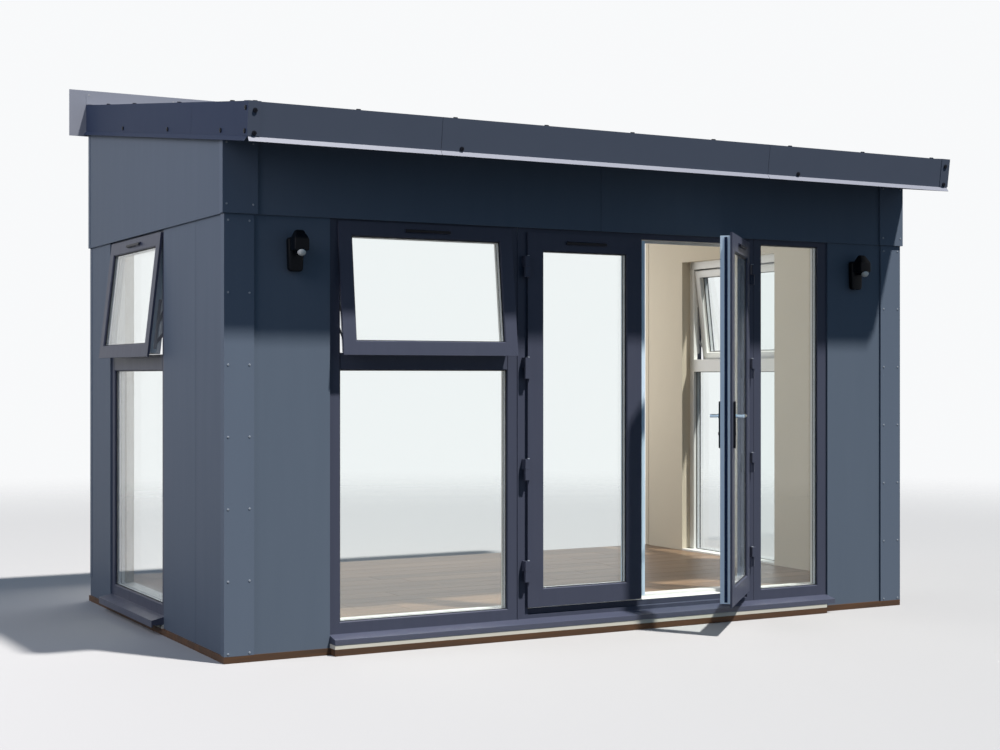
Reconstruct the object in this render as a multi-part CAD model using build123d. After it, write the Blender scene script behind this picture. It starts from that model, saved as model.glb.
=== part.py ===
from build123d import *
import os
from math import cos, radians, sin, tan

os.makedirs("parts", exist_ok=True)

# Lean-to garden room: three insulated walls, windows and doors in plastic frames, a roof that falls to the
# front.
# Millimetres. While modelling, x runs from the middle of the front, y goes inwards from the outer face of the
# lower corner covers, and z goes up from the underside of the base. save() then moves each piece so that y
# is 0 half way through the whole.

# Overall
width = 4400.0              # over the outer faces of the side walls
depth = 2620.0              # outer face of the front wall to the back of the flashing
seam_height = 2240.0        # where the upper panels lap over the lower ones
wall_thickness = 160.0      # from the face of the corner covers to the inside of the lining
lining_thickness = 12.0
panel_back = wall_thickness - lining_thickness
upper_proud = 12.0          # the upper panels stand this far in front of the lower ones
trim_proud = 10.0           # the corner covers stand this far in front of the panels

# Base and floor
bearer_height = 34.0
bearer_width = 145.0
joist_width = 45.0
joist_pitch = 500.0
packer_height = 22.0
packer_reach = 58.0         # the packer and the plinth stand this far in front of the wall
plinth_short = 60.0         # they end this far before the sill does
floor_thickness = 104.0
board_thickness = 12.0
inner_board = 12.0          # boards behind the window frames, and the thicker one behind the doorway
inner_threshold = 26.0

# Openings: the frames keep their size, and two equal panels fill the rest of the front wall
doorway_width = 1490.0
sidelight_glass_width = 427.0
side_window_start = 1042.0  # from the front face to the side window
window_width = 1105.0
coupler_width = 9.0
mullion_width = 102.0
frame_joint = 54.0          # joint in the mullion, from the edge of the sidelight
frame_recess = 20.0
frame_depth = 70.0
frame_face = 62.0           # visible width of a frame bar
frame_bottom = 100.0
frame_lap = 32.0            # the frames run up this far behind the lip of the upper panels
transom_bottom = 1461.0
transom_height = 89.0
bevel = 5.0

# Glass
pane = 4.0
glass_from_face = 15.0      # outer pane behind the face of its bar
glazing_gap = 30.0          # room for the two panes
rebate = 18.0               # the panes reach this far into their bars

# Opening sashes of the windows, set ajar
sash_overlap = 18.0         # sash flange over the frame
sash_face = 75.0
sash_flange = 13.0
sash_body_depth = 45.0
sash_body_clearance = 4.0
sash_angle = 6.5
seat_gap = 0.3

# Doors
jamb_width = 57.0
end_jamb_width = 70.0
door_head_height = 64.0
threshold_height = 60.0
leaf_overlap = 8.0          # leaf flange over the frame
leaf_face = 100.0
leaf_flange = 12.0
leaf_body_depth = 58.0
leaf_proud = 17.0           # outer face of a leaf in front of the frame's face
body_clearance = 8.0
leaf_meeting_gap = 22.0
mullion_reach = 34.0        # the meeting bar of the left leaf reaches behind the right one
mullion_thickness = 36.0
door_angle = 45.5           # the right leaf stands open at rest
stop_depth = 10.0
stop_width = 16.0

# Ironmongery
knuckle_offset = 6.0        # axis beyond the edge of the leaf
hinge_lift = 12.0           # axis in front of the leaf
hinge_height = 115.0
hinge_block = (-23.0, 6.5, -13.0, 5.0)    # reach of each half around its axis: sideways, then out and back
hinge_shares = (0.064, 0.334, 0.604, 0.875)    # tops of the hinges, as shares of the leaf from its top
handle_height = 1210.0
handle_backset = 52.0
lever_length = 125.0
lever_reach = 50.0
lever_thickness = 20.0
backplate = (28.0, 258.0, 11.0)
backplate_rise = 80.0       # top of the plate above the lever
cylinder_drop = 98.0

# Roof
pitch = 7.9
roof_overhang = 410.0       # front edge in front of the front wall
side_overhang = 16.0
eaves_rise = 491.0          # top of the roof panels at the front edge above the seam
roof_thickness = 100.0
roof_panel_count = 4
seam_rib = (24.0, 8.0)
seam_setback = 300.0        # the seams end this far behind the front edge
sheet = 2.0
fascia_height = 168.0
fascia_flange = 70.0
lip_length = 28.0
lip_angle = 40.0
side_fascia_length = 870.0
cap_width = 62.0
soffit_thickness = 10.0
ceiling_thickness = 12.0
batten_width = 38.0
fascia_breaks = (-0.538, 0.391)   # ends of the lengths of the front fascia, as shares of half the roof
flashing_reach = 125.0      # beyond each side wall
flashing_drop = 198.0       # bottom of the flashing below the top of the roof at its rear end
flashing_height = 293.0
flashing_thickness = 3.0
apron_width = 120.0
plate_width = 45.0
plate_height = 95.0

# Trims
lower_trim_width = 157.0
upper_trim_width = 185.0
trim_return = 50.0
channel_leg = 40.0
joint = 2.0                 # open joint between lengths of the same piece

# Sills
sill_reach = 60.0
sill_nose_top = 82.0
drip_bottom = 45.0          # drip of the side sills; the front sill lies on its packer

# Wall lights
light_share = 0.65          # place of the lights across the front panels
light_body = (92.0, 66.0, 145.0)
light_drop = 278.0          # bottom of the light below the seam
hood_rise = 203.0
sensor_rise = 93.0

half = width / 2
frames_width = (window_width + coupler_width + jamb_width + doorway_width + mullion_width
                + sidelight_glass_width + end_jamb_width)
front_panel_width = (width - frames_width) / 2
opening_left = -half + front_panel_width
opening_right = half - front_panel_width
door_frame_left = opening_left + window_width + coupler_width
door_left = door_frame_left + jamb_width
door_right = door_left + doorway_width
mullion_right = door_right + mullion_width
side_window_end = side_window_start + window_width
rear_plane = depth - flashing_thickness
frame_back = frame_recess + frame_depth
frame_top = seam_height + frame_lap
door_head_bottom = frame_top - door_head_height
eaves_height = seam_height + eaves_rise
upper_face = trim_proud - upper_proud
light_bottom = seam_height - light_drop
sill_top = frame_bottom
packer_top = bearer_height + packer_height
floor_top = bearer_height + floor_thickness + board_thickness
leaf_bottom = frame_bottom + threshold_height + 3.0
leaf_top = door_head_bottom + leaf_overlap
leaf_front = frame_recess - leaf_proud
right_leaf_right = door_right + leaf_overlap
left_leaf_left = door_left - leaf_overlap
left_leaf_right = (door_left + door_right - leaf_meeting_gap) / 2
right_leaf_left = left_leaf_right + leaf_meeting_gap
hinge_y = leaf_front - hinge_lift
left_hinge = (left_leaf_left - knuckle_offset, hinge_y)
right_hinge = (right_leaf_right + knuckle_offset, hinge_y)

# The open leaf reaches furthest forward at its outer lever. That sets where the middle of the whole lies.
lever_from_hinge = right_hinge[0] - (right_leaf_left + handle_backset) + lever_thickness / 2
lever_out = leaf_front - hinge_y - lever_reach - backplate[2]
lever_front = lever_from_hinge * sin(radians(door_angle)) - lever_out * cos(radians(door_angle)) - hinge_y
leaf_out = leaf_front - hinge_y
leaf_corner = (right_hinge[0] - right_leaf_left) * sin(radians(door_angle))
leaf_corner -= leaf_out * cos(radians(door_angle))
roof_front = roof_overhang + (2 * sheet + seat_gap) * (cos(radians(pitch)) + sin(radians(pitch)))
front_reach = max(lever_front, leaf_corner - hinge_y, roof_front)
middle_shift = -(depth - front_reach) / 2


def box(x, y, z):
    """A block from three (low, high) pairs."""
    size = [high - low for low, high in (x, y, z)]
    centre = [(high + low) / 2 for low, high in (x, y, z)]
    return Pos(*centre) * Box(*size)


def prism(points, axis, low, high):
    """An outline across one axis, run along it: pairs are (y, z), (x, z) or (x, y)."""
    places = {"x": lambda a, b: (low, a, b), "y": lambda a, b: (a, low, b), "z": lambda a, b: (a, b, low)}
    place = places[axis]
    along = {"x": (1, 0, 0), "y": (0, 1, 0), "z": (0, 0, 1)}[axis]
    outline = Polyline(*[place(a, b) for a, b in points], close=True)
    return extrude(make_face(outline), amount=high - low, dir=along)


def solids_of(pieces):
    """Every separate solid in a list of pieces."""
    found = []
    for piece in pieces:
        found.extend(piece.solids())
    return found


def save(name, *pieces):
    """Writes one node; its solids stay separate."""
    moved = [Pos(0, middle_shift, 0) * solid for solid in solids_of(pieces)]
    export_step(moved[0] if len(moved) == 1 else Compound(children=moved), f"parts/{name}.step")


def mirrored(piece):
    """The same piece at the other side of the room."""
    return piece.mirror(Plane.YZ)


def roof_z(y, lift=0.0):
    """Height of the roof's top face over a point y, or of a face lifted square to it."""
    return eaves_height + (y + roof_overhang) * tan(radians(pitch)) + lift / cos(radians(pitch))


def on_roof(piece):
    """Lays a piece modelled flat, with y up the slope from the front edge and z square to the roof."""
    return Pos(0, -roof_overhang, eaves_height) * Rot(pitch, 0, 0) * piece


def plumb_end(piece):
    """Cuts a roof piece off plumb at the rear plane."""
    return piece - box((-width, width), (rear_plane, rear_plane + depth), (0, eaves_height + depth))


# Frames


def frame_bars(x, z, profile, y, gap=seat_gap):
    """Four mitred bars around a rectangle; the profile's pairs are (inwards, back from the face)."""
    reach = max(inwards for inwards, back in profile)
    (x0, x1), (z0, z1) = x, z
    left = prism([(x0 + a, y + b) for a, b in profile], "z", z0, z1)
    right = prism([(x1 - a, y + b) for a, b in profile], "z", z0, z1)
    bottom = prism([(y + b, z0 + a) for a, b in profile], "x", x0, x1)
    top = prism([(y + b, z1 - a) for a, b in profile], "x", x0, x1)
    far = (y - 50, y + 150)
    side = [(x0, z0 + gap), (x0 + reach, z0 + reach + gap), (x0 + reach, z1 - reach - gap), (x0, z1 - gap)]
    other = [(x1, z0 + gap), (x1 - reach, z0 + reach + gap), (x1 - reach, z1 - reach - gap), (x1, z1 - gap)]
    low = [(x0, z0), (x1, z0), (x1 - reach, z0 + reach), (x0 + reach, z0 + reach)]
    high = [(x0, z1), (x1, z1), (x1 - reach, z1 - reach), (x0 + reach, z1 - reach)]
    cuts = [prism(points, "y", *far) for points in (side, other, low, high)]
    return [bar & cut for bar, cut in zip((left, right, bottom, top), cuts)]


def panes(x, z, face_y):
    """The two panes of a glazed light, their edges in the rebates of the bars."""
    outer = face_y + glass_from_face + seat_gap
    inner = face_y + glass_from_face + glazing_gap - seat_gap - pane
    edge = rebate - 3.0
    size_x = (x[0] - edge, x[1] + edge)
    size_z = (z[0] - edge, z[1] + edge)
    return [box(size_x, (start, start + pane), size_z) for start in (outer, inner)]


def glass_pocket(x, z, face_y):
    """The groove that the panes of a light stand in."""
    return box((x[0] - rebate, x[1] + rebate),
               (face_y + glass_from_face, face_y + glass_from_face + glazing_gap),
               (z[0] - rebate, z[1] + rebate))


def leaf_profile(face, flange, body_depth, overhang):
    """Section of a sash or door leaf: a wide outer flange and a narrower body with its bead behind it."""
    back = flange + body_depth
    return [(0, 0), (face - bevel, 0), (face, bevel), (face, back - bevel), (face - bevel, back),
            (overhang, back), (overhang, flange), (0, flange)]


def window(x0):
    """A window unit facing the front, its left edge at x0: frame, open sash and glass."""
    x1 = x0 + window_width
    light_x = (x0 + frame_face, x1 - frame_face)
    fixed_z = (frame_bottom + frame_face, transom_bottom)
    bar = [(0, 0), (frame_face - bevel, 0), (frame_face, bevel), (frame_face, frame_depth), (0, frame_depth)]
    frame = frame_bars((x0, x1), (frame_bottom, frame_top), bar, frame_recess)
    transom = [(frame_recess, transom_bottom + bevel), (frame_recess + bevel, transom_bottom),
               (frame_back, transom_bottom), (frame_back, transom_bottom + transom_height),
               (frame_recess + bevel, transom_bottom + transom_height),
               (frame_recess, transom_bottom + transom_height - bevel)]
    frame.append(prism(transom, "x", light_x[0] + seat_gap, light_x[1] - seat_gap))
    pocket = glass_pocket(light_x, fixed_z, frame_recess)
    frame = [piece - pocket for piece in frame]
    fixed_glass = panes(light_x, fixed_z, frame_recess)

    sash_x = (light_x[0] - sash_overlap, light_x[1] + sash_overlap)
    sash_z = (transom_bottom + transom_height - sash_overlap, frame_top - frame_face + sash_overlap)
    face_y = frame_recess - seat_gap - sash_flange
    overhang = sash_overlap + sash_body_clearance
    profile = leaf_profile(sash_face, sash_flange, sash_body_depth, overhang)
    sash = frame_bars(sash_x, sash_z, profile, face_y)
    glass_x = (sash_x[0] + sash_face, sash_x[1] - sash_face)
    glass_z = (sash_z[0] + sash_face, sash_z[1] - sash_face)
    sash_pocket = glass_pocket(glass_x, glass_z, face_y)
    sash = [piece - sash_pocket for piece in sash]
    sash.append(vent((glass_x[0] + glass_x[1]) / 2, sash_z[1] - sash_face / 2, face_y))
    hinge = Pos(0, frame_recess - seat_gap, sash_z[1])
    swing = hinge * Rot(-sash_angle, 0, 0) * hinge.inverse()
    opened = [swing * piece for piece in sash]
    sash_glass = [swing * piece for piece in panes(glass_x, glass_z, face_y)]
    return frame, opened, fixed_glass + sash_glass


def vent(x, z, face_y):
    """Canopy of a trickle vent on a top rail."""
    length, height, reach = 260.0, 18.0, 14.0
    canopy = [(face_y, z - height / 2), (face_y, z + height / 2), (face_y - reach, z + height / 2 - 5),
              (face_y - reach, z - height / 2)]
    return prism(canopy, "x", x - length / 2, x + length / 2)


def to_left_wall(piece):
    """Turns a unit made on the front line, centred on x = 0, into the left wall."""
    return Pos(-half, (side_window_start + side_window_end) / 2, 0) * Rot(0, 0, -90) * piece


# Base and floor

joist_count = int((depth - 700) / joist_pitch) + 1
joist_y = [wall_thickness + joist_pitch * (step + 1) for step in range(joist_count)]
bearer_z = (0, bearer_height)
between = (-half + bearer_width + seat_gap, half - bearer_width - seat_gap)
side_bearer = box((-half, -half + bearer_width), (0, rear_plane), bearer_z)
bearers = [side_bearer, mirrored(side_bearer), box(between, (0, bearer_width), bearer_z),
           box(between, (rear_plane - bearer_width, rear_plane), bearer_z)]
joists = [box(between, (y - joist_width / 2, y + joist_width / 2), bearer_z) for y in joist_y]
plinth_x = (opening_left, opening_right - plinth_short)
plinth = box(plinth_x, (-packer_reach, -seat_gap), bearer_z)
save("base_bearers", *bearers, *joists, plinth)

front_packer = box(plinth_x, (-packer_reach, frame_back), (bearer_height, packer_top))
side_packer = box((-half, -half + frame_back), (side_window_start, side_window_end),
                  (bearer_height, packer_top))
save("sill_packers", front_packer, side_packer, mirrored(side_packer))

room_x = (-half + wall_thickness, half - wall_thickness)
room_y = (wall_thickness, rear_plane)
deck_top = bearer_height + floor_thickness
bay_front = frame_back + seat_gap
bay_y = (side_window_start + seat_gap, side_window_end - seat_gap)
half_floor = [(0, bay_front), (opening_right - seat_gap, bay_front), (opening_right - seat_gap, room_y[0]),
              (room_x[1], room_y[0]), (room_x[1], bay_y[0]), (half - bay_front, bay_y[0]),
              (half - bay_front, bay_y[1]), (room_x[1], bay_y[1]), (room_x[1], room_y[1])]
floor_outline = half_floor + [(-x, y) for x, y in reversed(half_floor[1:])]
save("floor_deck", prism(floor_outline, "z", bearer_height, deck_top))
save("floor_boards", prism(floor_outline, "z", deck_top, floor_top))

cheek = lining_thickness + seat_gap
reveal_y = (bay_front, wall_thickness)
board_z = (floor_top, floor_top + inner_board)
window_board = box((opening_left + cheek, door_left - seat_gap), reveal_y, board_z)
light_board = box((door_right + seat_gap, opening_right - cheek), reveal_y, board_z)
step_board = box((door_left, door_right), reveal_y, (floor_top, floor_top + inner_threshold))
board_y = (side_window_start + cheek, side_window_end - cheek)
side_board = box((-half + bay_front, -half + wall_thickness), board_y, board_z)
save("inner_boards", window_board, step_board, light_board, side_board, mirrored(side_board))

# Walls

panel_z = (bearer_height, seam_height)
left_panel = box((-half + panel_back, opening_left), (trim_proud, panel_back), panel_z)
save("front_left_panel", left_panel)
save("front_right_panel", mirrored(left_panel))

lap = frame_recess - 5.0
lap_top = frame_top + 3.0
header = prism([(upper_face, seam_height), (panel_back, seam_height),
                (panel_back, roof_z(panel_back, -roof_thickness)),
                (upper_face, roof_z(upper_face, -roof_thickness))],
               "x", -half + upper_face, -joint / 2)
header -= box((opening_left, 1), (lap, panel_back + 1), (seam_height - 1, lap_top))
save("front_header", header, mirrored(header))

side_x = (-half + trim_proud, -half + panel_back)
panel_end = rear_plane - sheet
side_front = box(side_x, (trim_proud, side_window_start), panel_z)
side_joint_y = 477.0
groove = box((side_x[0] - 1, side_x[0] + 1.5), (side_joint_y - 1.5, side_joint_y + 1.5),
             (0, seam_height + 1))
side_front -= groove
side_rear = box(side_x, (side_window_end, panel_end), panel_z)
upper = prism([(panel_back, seam_height), (panel_end, seam_height),
               (panel_end, roof_z(panel_end, -roof_thickness)),
               (panel_back, roof_z(panel_back, -roof_thickness))],
              "x", -half + upper_face, -half + panel_back)
upper -= box((-half + lap, -half + panel_back + 1), (side_window_start, side_window_end),
             (seam_height - 1, lap_top))
for side, turn in (("left", lambda piece: piece), ("right", mirrored)):
    save(f"{side}_wall_front_panel", turn(side_front))
    save(f"{side}_wall_rear_panel", turn(side_rear))
    save(f"{side}_wall_upper_panel", turn(upper))


def corner_trim(x, y, front_width, z):
    """A folded cover around a front corner, its faces at x and y and its edges turned back to the panels."""
    inner = (x + sheet, y + sheet)
    points = [(x, y), (x + front_width, y), (x + front_width, y + trim_proud),
              (x + front_width - sheet, y + trim_proud), (x + front_width - sheet, inner[1]), inner,
              (inner[0], y + trim_return - sheet), (x + trim_proud, y + trim_return - sheet),
              (x + trim_proud, y + trim_return), (x, y + trim_return)]
    return prism(points, "z", *z)


trim_top = roof_z(-upper_proud, -roof_thickness - soffit_thickness) - 1
lower_trim = corner_trim(-half, 0, lower_trim_width, (bearer_height, seam_height - 1))
upper_trim = corner_trim(-half - upper_proud, -upper_proud, upper_trim_width, (seam_height, trim_top))
save("left_corner_trim", lower_trim, upper_trim)
save("right_corner_trim", mirrored(lower_trim), mirrored(upper_trim))


def end_channel(outer_x, z):
    """The folded channel that closes the rear end of a side wall."""
    inner_x = -half + wall_thickness
    points = [(outer_x - sheet, rear_plane - channel_leg), (outer_x, rear_plane - channel_leg),
              (outer_x, panel_end), (inner_x, panel_end), (inner_x, rear_plane - channel_leg),
              (inner_x + sheet, rear_plane - channel_leg), (inner_x + sheet, rear_plane),
              (outer_x - sheet, rear_plane)]
    return prism(points, "z", *z)


lower_channel = end_channel(side_x[0], (floor_top, seam_height - 1))
channel_top = roof_z(rear_plane - channel_leg, -roof_thickness) - 15
upper_channel = end_channel(-half + upper_face, (seam_height, channel_top))
save("left_end_channel", lower_channel, upper_channel)
save("right_end_channel", mirrored(lower_channel), mirrored(upper_channel))

# Linings and ceiling

lining_x = (-half + panel_back, -half + wall_thickness)
lining_end = rear_plane - sheet


def ceiling_z(y):
    return roof_z(y, -roof_thickness - ceiling_thickness) - seat_gap


def side_lining(y, low):
    top = [(y[1], ceiling_z(y[1])), (y[0], ceiling_z(y[0]))]
    return prism([(y[0], low), (y[1], low)] + top, "x", *lining_x)


linings = [side_lining((wall_thickness + seat_gap, side_window_start), floor_top),
           side_lining((side_window_end, lining_end), floor_top),
           side_lining((side_window_start + seat_gap, side_window_end - seat_gap), lap_top)]
reveal_top = lap_top - lining_thickness
reveal_z = (floor_top + seat_gap, reveal_top - seat_gap)
reveal_x = (-half + bay_front, -half + wall_thickness)
near_cheek = box(reveal_x, (side_window_start + seat_gap, side_window_start + lining_thickness), reveal_z)
far_cheek = box(reveal_x, (side_window_end - lining_thickness, side_window_end - seat_gap), reveal_z)
linings += [near_cheek, far_cheek, box(reveal_x, bay_y, (reveal_top, lap_top - seat_gap))]
save("left_wall_lining", *linings)
save("right_wall_lining", *[mirrored(piece) for piece in linings])

front_low = [(panel_back, floor_top), (wall_thickness, floor_top),
             (wall_thickness, ceiling_z(wall_thickness)), (panel_back, ceiling_z(panel_back))]
front_over = [(y, max(z, lap_top)) for y, z in front_low]
front_side = prism(front_low, "x", -half + panel_back, opening_left)
front_cheek = box((opening_left + seat_gap, opening_left + lining_thickness), reveal_y, reveal_z)
front_head = box((opening_left + seat_gap, opening_right - seat_gap), reveal_y,
                 (reveal_top, lap_top - seat_gap))
save("front_wall_lining", front_side, mirrored(front_side), front_cheek, mirrored(front_cheek), front_head,
     prism(front_over, "x", opening_left + seat_gap, opening_right - seat_gap))

plate_front = rear_plane - plate_width
plate_top = roof_z(plate_front, -roof_thickness)
plate = [(plate_front, plate_top - plate_height), (rear_plane, plate_top - plate_height),
         (rear_plane, roof_z(rear_plane, -roof_thickness)), (plate_front, plate_top)]
save("wall_plate", prism(plate, "x", room_x[0] + sheet, room_x[1] - sheet))

ceiling = [(y, roof_z(y, lift)) for y, lift in (
    (panel_back, -roof_thickness - ceiling_thickness), (plate_front, -roof_thickness - ceiling_thickness),
    (plate_front, -roof_thickness), (panel_back, -roof_thickness))]
save("ceiling", prism(ceiling, "x", side_x[1], -side_x[1]))

# Roof

roof_half = half + side_overhang
roof_length = (depth + roof_overhang) / cos(radians(pitch)) + 200
panel_width = 2 * roof_half / roof_panel_count
roof_panels = []
ribs = []
for index in range(roof_panel_count):
    start = -roof_half + index * panel_width
    panel = box((start + joint / 4, start + panel_width - joint / 4), (0, roof_length), (-roof_thickness, 0))
    roof_panels.append(plumb_end(on_roof(panel)))
    if index:
        wide, tall = seam_rib
        rib = [(start - wide / 2, 0), (start + wide / 2, 0), (start + wide / 4, tall),
               (start - wide / 4, tall)]
        ribs.append(on_roof(prism(rib, "y", seam_setback, roof_length)))
back_of_ribs = rear_plane - apron_width
behind_ribs = box((-width, width), (back_of_ribs, back_of_ribs + depth), (0, eaves_height + depth))
ribs = [rib - behind_ribs for rib in ribs]
save("roof_panels", *roof_panels)
save("roof_seams", *ribs)

lip_x = lip_length * sin(radians(lip_angle))
lip_z = lip_length * cos(radians(lip_angle))


def edge_section(outwards, flange):
    """Folded roof edge: a flange on the roof, a face down its edge and a lip kicked outwards."""
    down = sheet - fascia_height
    bend = sheet * 0.4
    points = [(flange, 0), (0, 0), (0, down), (-lip_x, down - lip_z),
              (-lip_x - sheet * 0.8, down - lip_z + bend), (-sheet, down + bend), (-sheet, sheet),
              (flange, sheet)]
    return [(outwards * a, b) for a, b in points]


front_breaks = [share * roof_half for share in fascia_breaks]
lengths = [(-roof_half, front_breaks[0] - joint / 2),
           (front_breaks[0] + joint / 2, front_breaks[1] - joint / 2),
           (front_breaks[1] + joint / 2, roof_half)]
front_fascia = [on_roof(prism(edge_section(1, fascia_flange), "x", *length)) for length in lengths]
save("front_fascia", *front_fascia)

side_break = side_fascia_length
face_only = [(-roof_half + a, b) for a, b in edge_section(1, 0.0)[1:7]] + [(-roof_half, sheet)]
face_front = prism(face_only, "y", 0, fascia_flange + joint)
full_section = [(-roof_half + a, b) for a, b in edge_section(1, fascia_flange)]
run_front = face_front + prism(full_section, "y", fascia_flange + joint, side_break - joint / 2)
run_back = prism(full_section, "y", side_break + joint / 2, roof_length)
left_fascia = [on_roof(run_front), plumb_end(on_roof(run_back))]

cap_out = -roof_half - sheet - seat_gap
cap_front = -sheet - seat_gap
cap = prism([(cap_out - sheet, cap_front - sheet), (cap_out + cap_width, cap_front - sheet),
             (cap_out + cap_width, cap_front), (cap_out, cap_front), (cap_out, cap_width),
             (cap_out - sheet, cap_width)],
            "z", sheet - fascia_height + 3, sheet + seat_gap + sheet)
cap += box((cap_out - sheet, cap_out + cap_width), (cap_front - sheet, cap_width),
           (sheet + seat_gap, sheet + seat_gap + sheet))
left_fascia.append(on_roof(cap))
save("left_fascia", *left_fascia)
save("right_fascia", *[mirrored(piece) for piece in left_fascia])

batten_drop = fascia_height - 6.0
batten = on_roof(box((-roof_half + 2, roof_half - 2), (0, batten_width), (-batten_drop, -roof_thickness)))
save("eaves_batten", batten)

soffit = [(-roof_overhang + batten_width + 20, -roof_thickness), (upper_face, -roof_thickness)]
soffit_outline = [(y, roof_z(y, lift)) for y, lift in soffit]
soffit_outline += [(y, roof_z(y, lift - soffit_thickness)) for y, lift in reversed(soffit)]
save("front_soffit", prism(soffit_outline, "x", -roof_half + 2, roof_half - 2))

flashing_bottom = roof_z(rear_plane) - flashing_drop
flash_top = flashing_bottom + flashing_height
strip = box((-half - flashing_reach, half + flashing_reach), (rear_plane, depth),
            (flashing_bottom, flash_top))
apron_lift = sheet * 2
apron_foot = roof_z(rear_plane - apron_width, apron_lift)
apron_bend = roof_z(rear_plane - sheet, apron_lift) + sheet
apron = [(rear_plane, roof_z(rear_plane, apron_lift)), (rear_plane - apron_width, apron_foot),
         (rear_plane - apron_width, apron_foot + sheet), (rear_plane - sheet, apron_bend),
         (rear_plane - sheet, flash_top - 20), (rear_plane, flash_top - 20)]
save("abutment_flashing", strip + prism(apron, "x", -roof_half - sheet, roof_half + sheet))

# Windows

frame, sash, glass = window(opening_left)
save("front_window_frame", *frame)
save("front_window_sash", *sash)
save("front_window_glass", *glass)
frame, sash, glass = window(-window_width / 2)
for kind, pieces in (("frame", frame), ("sash", sash), ("glass", glass)):
    turned = [to_left_wall(piece) for piece in pieces]
    save(f"left_window_{kind}", *turned)
    save(f"right_window_{kind}", *[mirrored(piece) for piece in turned])


def sill(start, end, nose_bottom):
    """A sill under a frame, from its flat back to its nose."""
    points = [(frame_back, packer_top), (frame_back, sill_top), (frame_recess, sill_top),
              (-sill_reach, sill_nose_top), (-sill_reach, nose_bottom)]
    if nose_bottom < packer_top:
        points += [(-sill_reach + 7, nose_bottom), (-sill_reach + 7, packer_top)]
    return prism(points, "x", start, end)


save("front_sill", sill(opening_left, opening_right, packer_top))
side_sill = to_left_wall(sill(-window_width / 2, window_width / 2, drip_bottom))
save("left_sill", side_sill)
save("right_sill", mirrored(side_sill))

# Door set: frame with a threshold, and a fixed light beside the doors

coupler = box((opening_left + window_width, door_frame_left - seat_gap), (frame_recess - 4, frame_back),
              (frame_bottom, frame_top))


def jamb(outer_x, inner_x):
    """A door jamb with its stop at the back; inner_x is the edge at the doorway."""
    step = stop_width if inner_x > outer_x else -stop_width
    back = frame_back - stop_depth
    return prism([(outer_x, frame_recess), (inner_x, frame_recess), (inner_x, back), (inner_x + step, back),
                  (inner_x + step, frame_back), (outer_x, frame_back)], "z", frame_bottom, frame_top)


sidelight_x = (mullion_right, mullion_right + sidelight_glass_width)
sidelight_z = (frame_bottom + frame_face, frame_top - frame_face)
doorway_z = (frame_bottom + threshold_height, door_head_bottom)
left_jamb = jamb(door_frame_left, door_left)
mullion = jamb(mullion_right, door_right)
joint_x = mullion_right - frame_joint
mullion -= box((joint_x - 1, joint_x + 1), (frame_recess - 1, frame_recess + 4),
               (frame_bottom - 1, frame_top + 1))
right_jamb = box((sidelight_x[1], opening_right), (frame_recess, frame_back), (frame_bottom, frame_top))
stop_y = frame_back - stop_depth
head = prism([(frame_recess, doorway_z[1]), (stop_y, doorway_z[1]), (stop_y, doorway_z[1] - stop_width),
              (frame_back, doorway_z[1] - stop_width), (frame_back, frame_top), (frame_recess, frame_top)],
             "x", door_left + seat_gap + stop_width, door_right - seat_gap - stop_width)
head += box((door_left + seat_gap, door_right - seat_gap), (frame_recess, stop_y - seat_gap),
            (doorway_z[1], frame_top))
threshold_profile = [(frame_recess, frame_bottom), (frame_back, frame_bottom),
                     (frame_back, doorway_z[0] + stop_width), (stop_y, doorway_z[0] + stop_width),
                     (stop_y, doorway_z[0]), (frame_recess + 14, doorway_z[0] - 6),
                     (frame_recess + 14, frame_bottom + 24), (frame_recess, frame_bottom + 20)]
threshold = prism(threshold_profile, "x", door_left + seat_gap + stop_width,
                  door_right - seat_gap - stop_width)
threshold += prism([(min(y, stop_y - seat_gap), min(z, doorway_z[0])) for y, z in threshold_profile[:1]] +
                   [(stop_y - seat_gap, frame_bottom), (stop_y - seat_gap, doorway_z[0]),
                    (frame_recess + 14, doorway_z[0] - 6), (frame_recess + 14, frame_bottom + 24),
                    (frame_recess, frame_bottom + 20)],
                   "x", door_left + seat_gap, door_right - seat_gap)
light_bar = [(frame_recess, 0), (frame_back, 0), (frame_back, frame_face),
             (frame_recess + bevel, frame_face), (frame_recess, frame_face - bevel)]
light_bottom_bar = prism([(y, frame_bottom + z) for y, z in light_bar], "x", sidelight_x[0] + seat_gap,
                         sidelight_x[1] - seat_gap)
light_top_bar = prism([(y, frame_top - z) for y, z in light_bar], "x", sidelight_x[0] + seat_gap,
                      sidelight_x[1] - seat_gap)
side_pocket = glass_pocket(sidelight_x, sidelight_z, frame_recess)
glazed = [piece - side_pocket for piece in (mullion, right_jamb, light_bottom_bar, light_top_bar)]
save("door_frame", left_jamb, head, threshold, coupler, *glazed)
save("sidelight_glass", *panes(sidelight_x, sidelight_z, frame_recess))

# Door leaves, modelled shut


def door_leaf(x, lock_side):
    """Bars of one leaf; lock_side is the stile with the wider flange, or None."""
    overhang = leaf_overlap + body_clearance
    profile = leaf_profile(leaf_face, leaf_flange, leaf_body_depth, overhang)
    z = (leaf_bottom, leaf_top)
    bars = frame_bars(x, z, profile, leaf_front)
    glass_x = (x[0] + leaf_face, x[1] - leaf_face)
    glass_z = (z[0] + leaf_face, z[1] - leaf_face)
    pocket = glass_pocket(glass_x, glass_z, leaf_front)
    bars = [bar - pocket for bar in bars]
    if lock_side:
        clear = mullion_reach - leaf_meeting_gap + body_clearance + 1
        trimmed = box((x[0] - 1, x[0] + clear), (leaf_front + leaf_flange, frame_back), (0, seam_height))
        bars = [bar - trimmed for bar in bars]
    bars.append(vent((glass_x[0] + glass_x[1]) / 2, z[1] - leaf_face / 2, leaf_front))
    return bars, panes(glass_x, glass_z, leaf_front)


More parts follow.
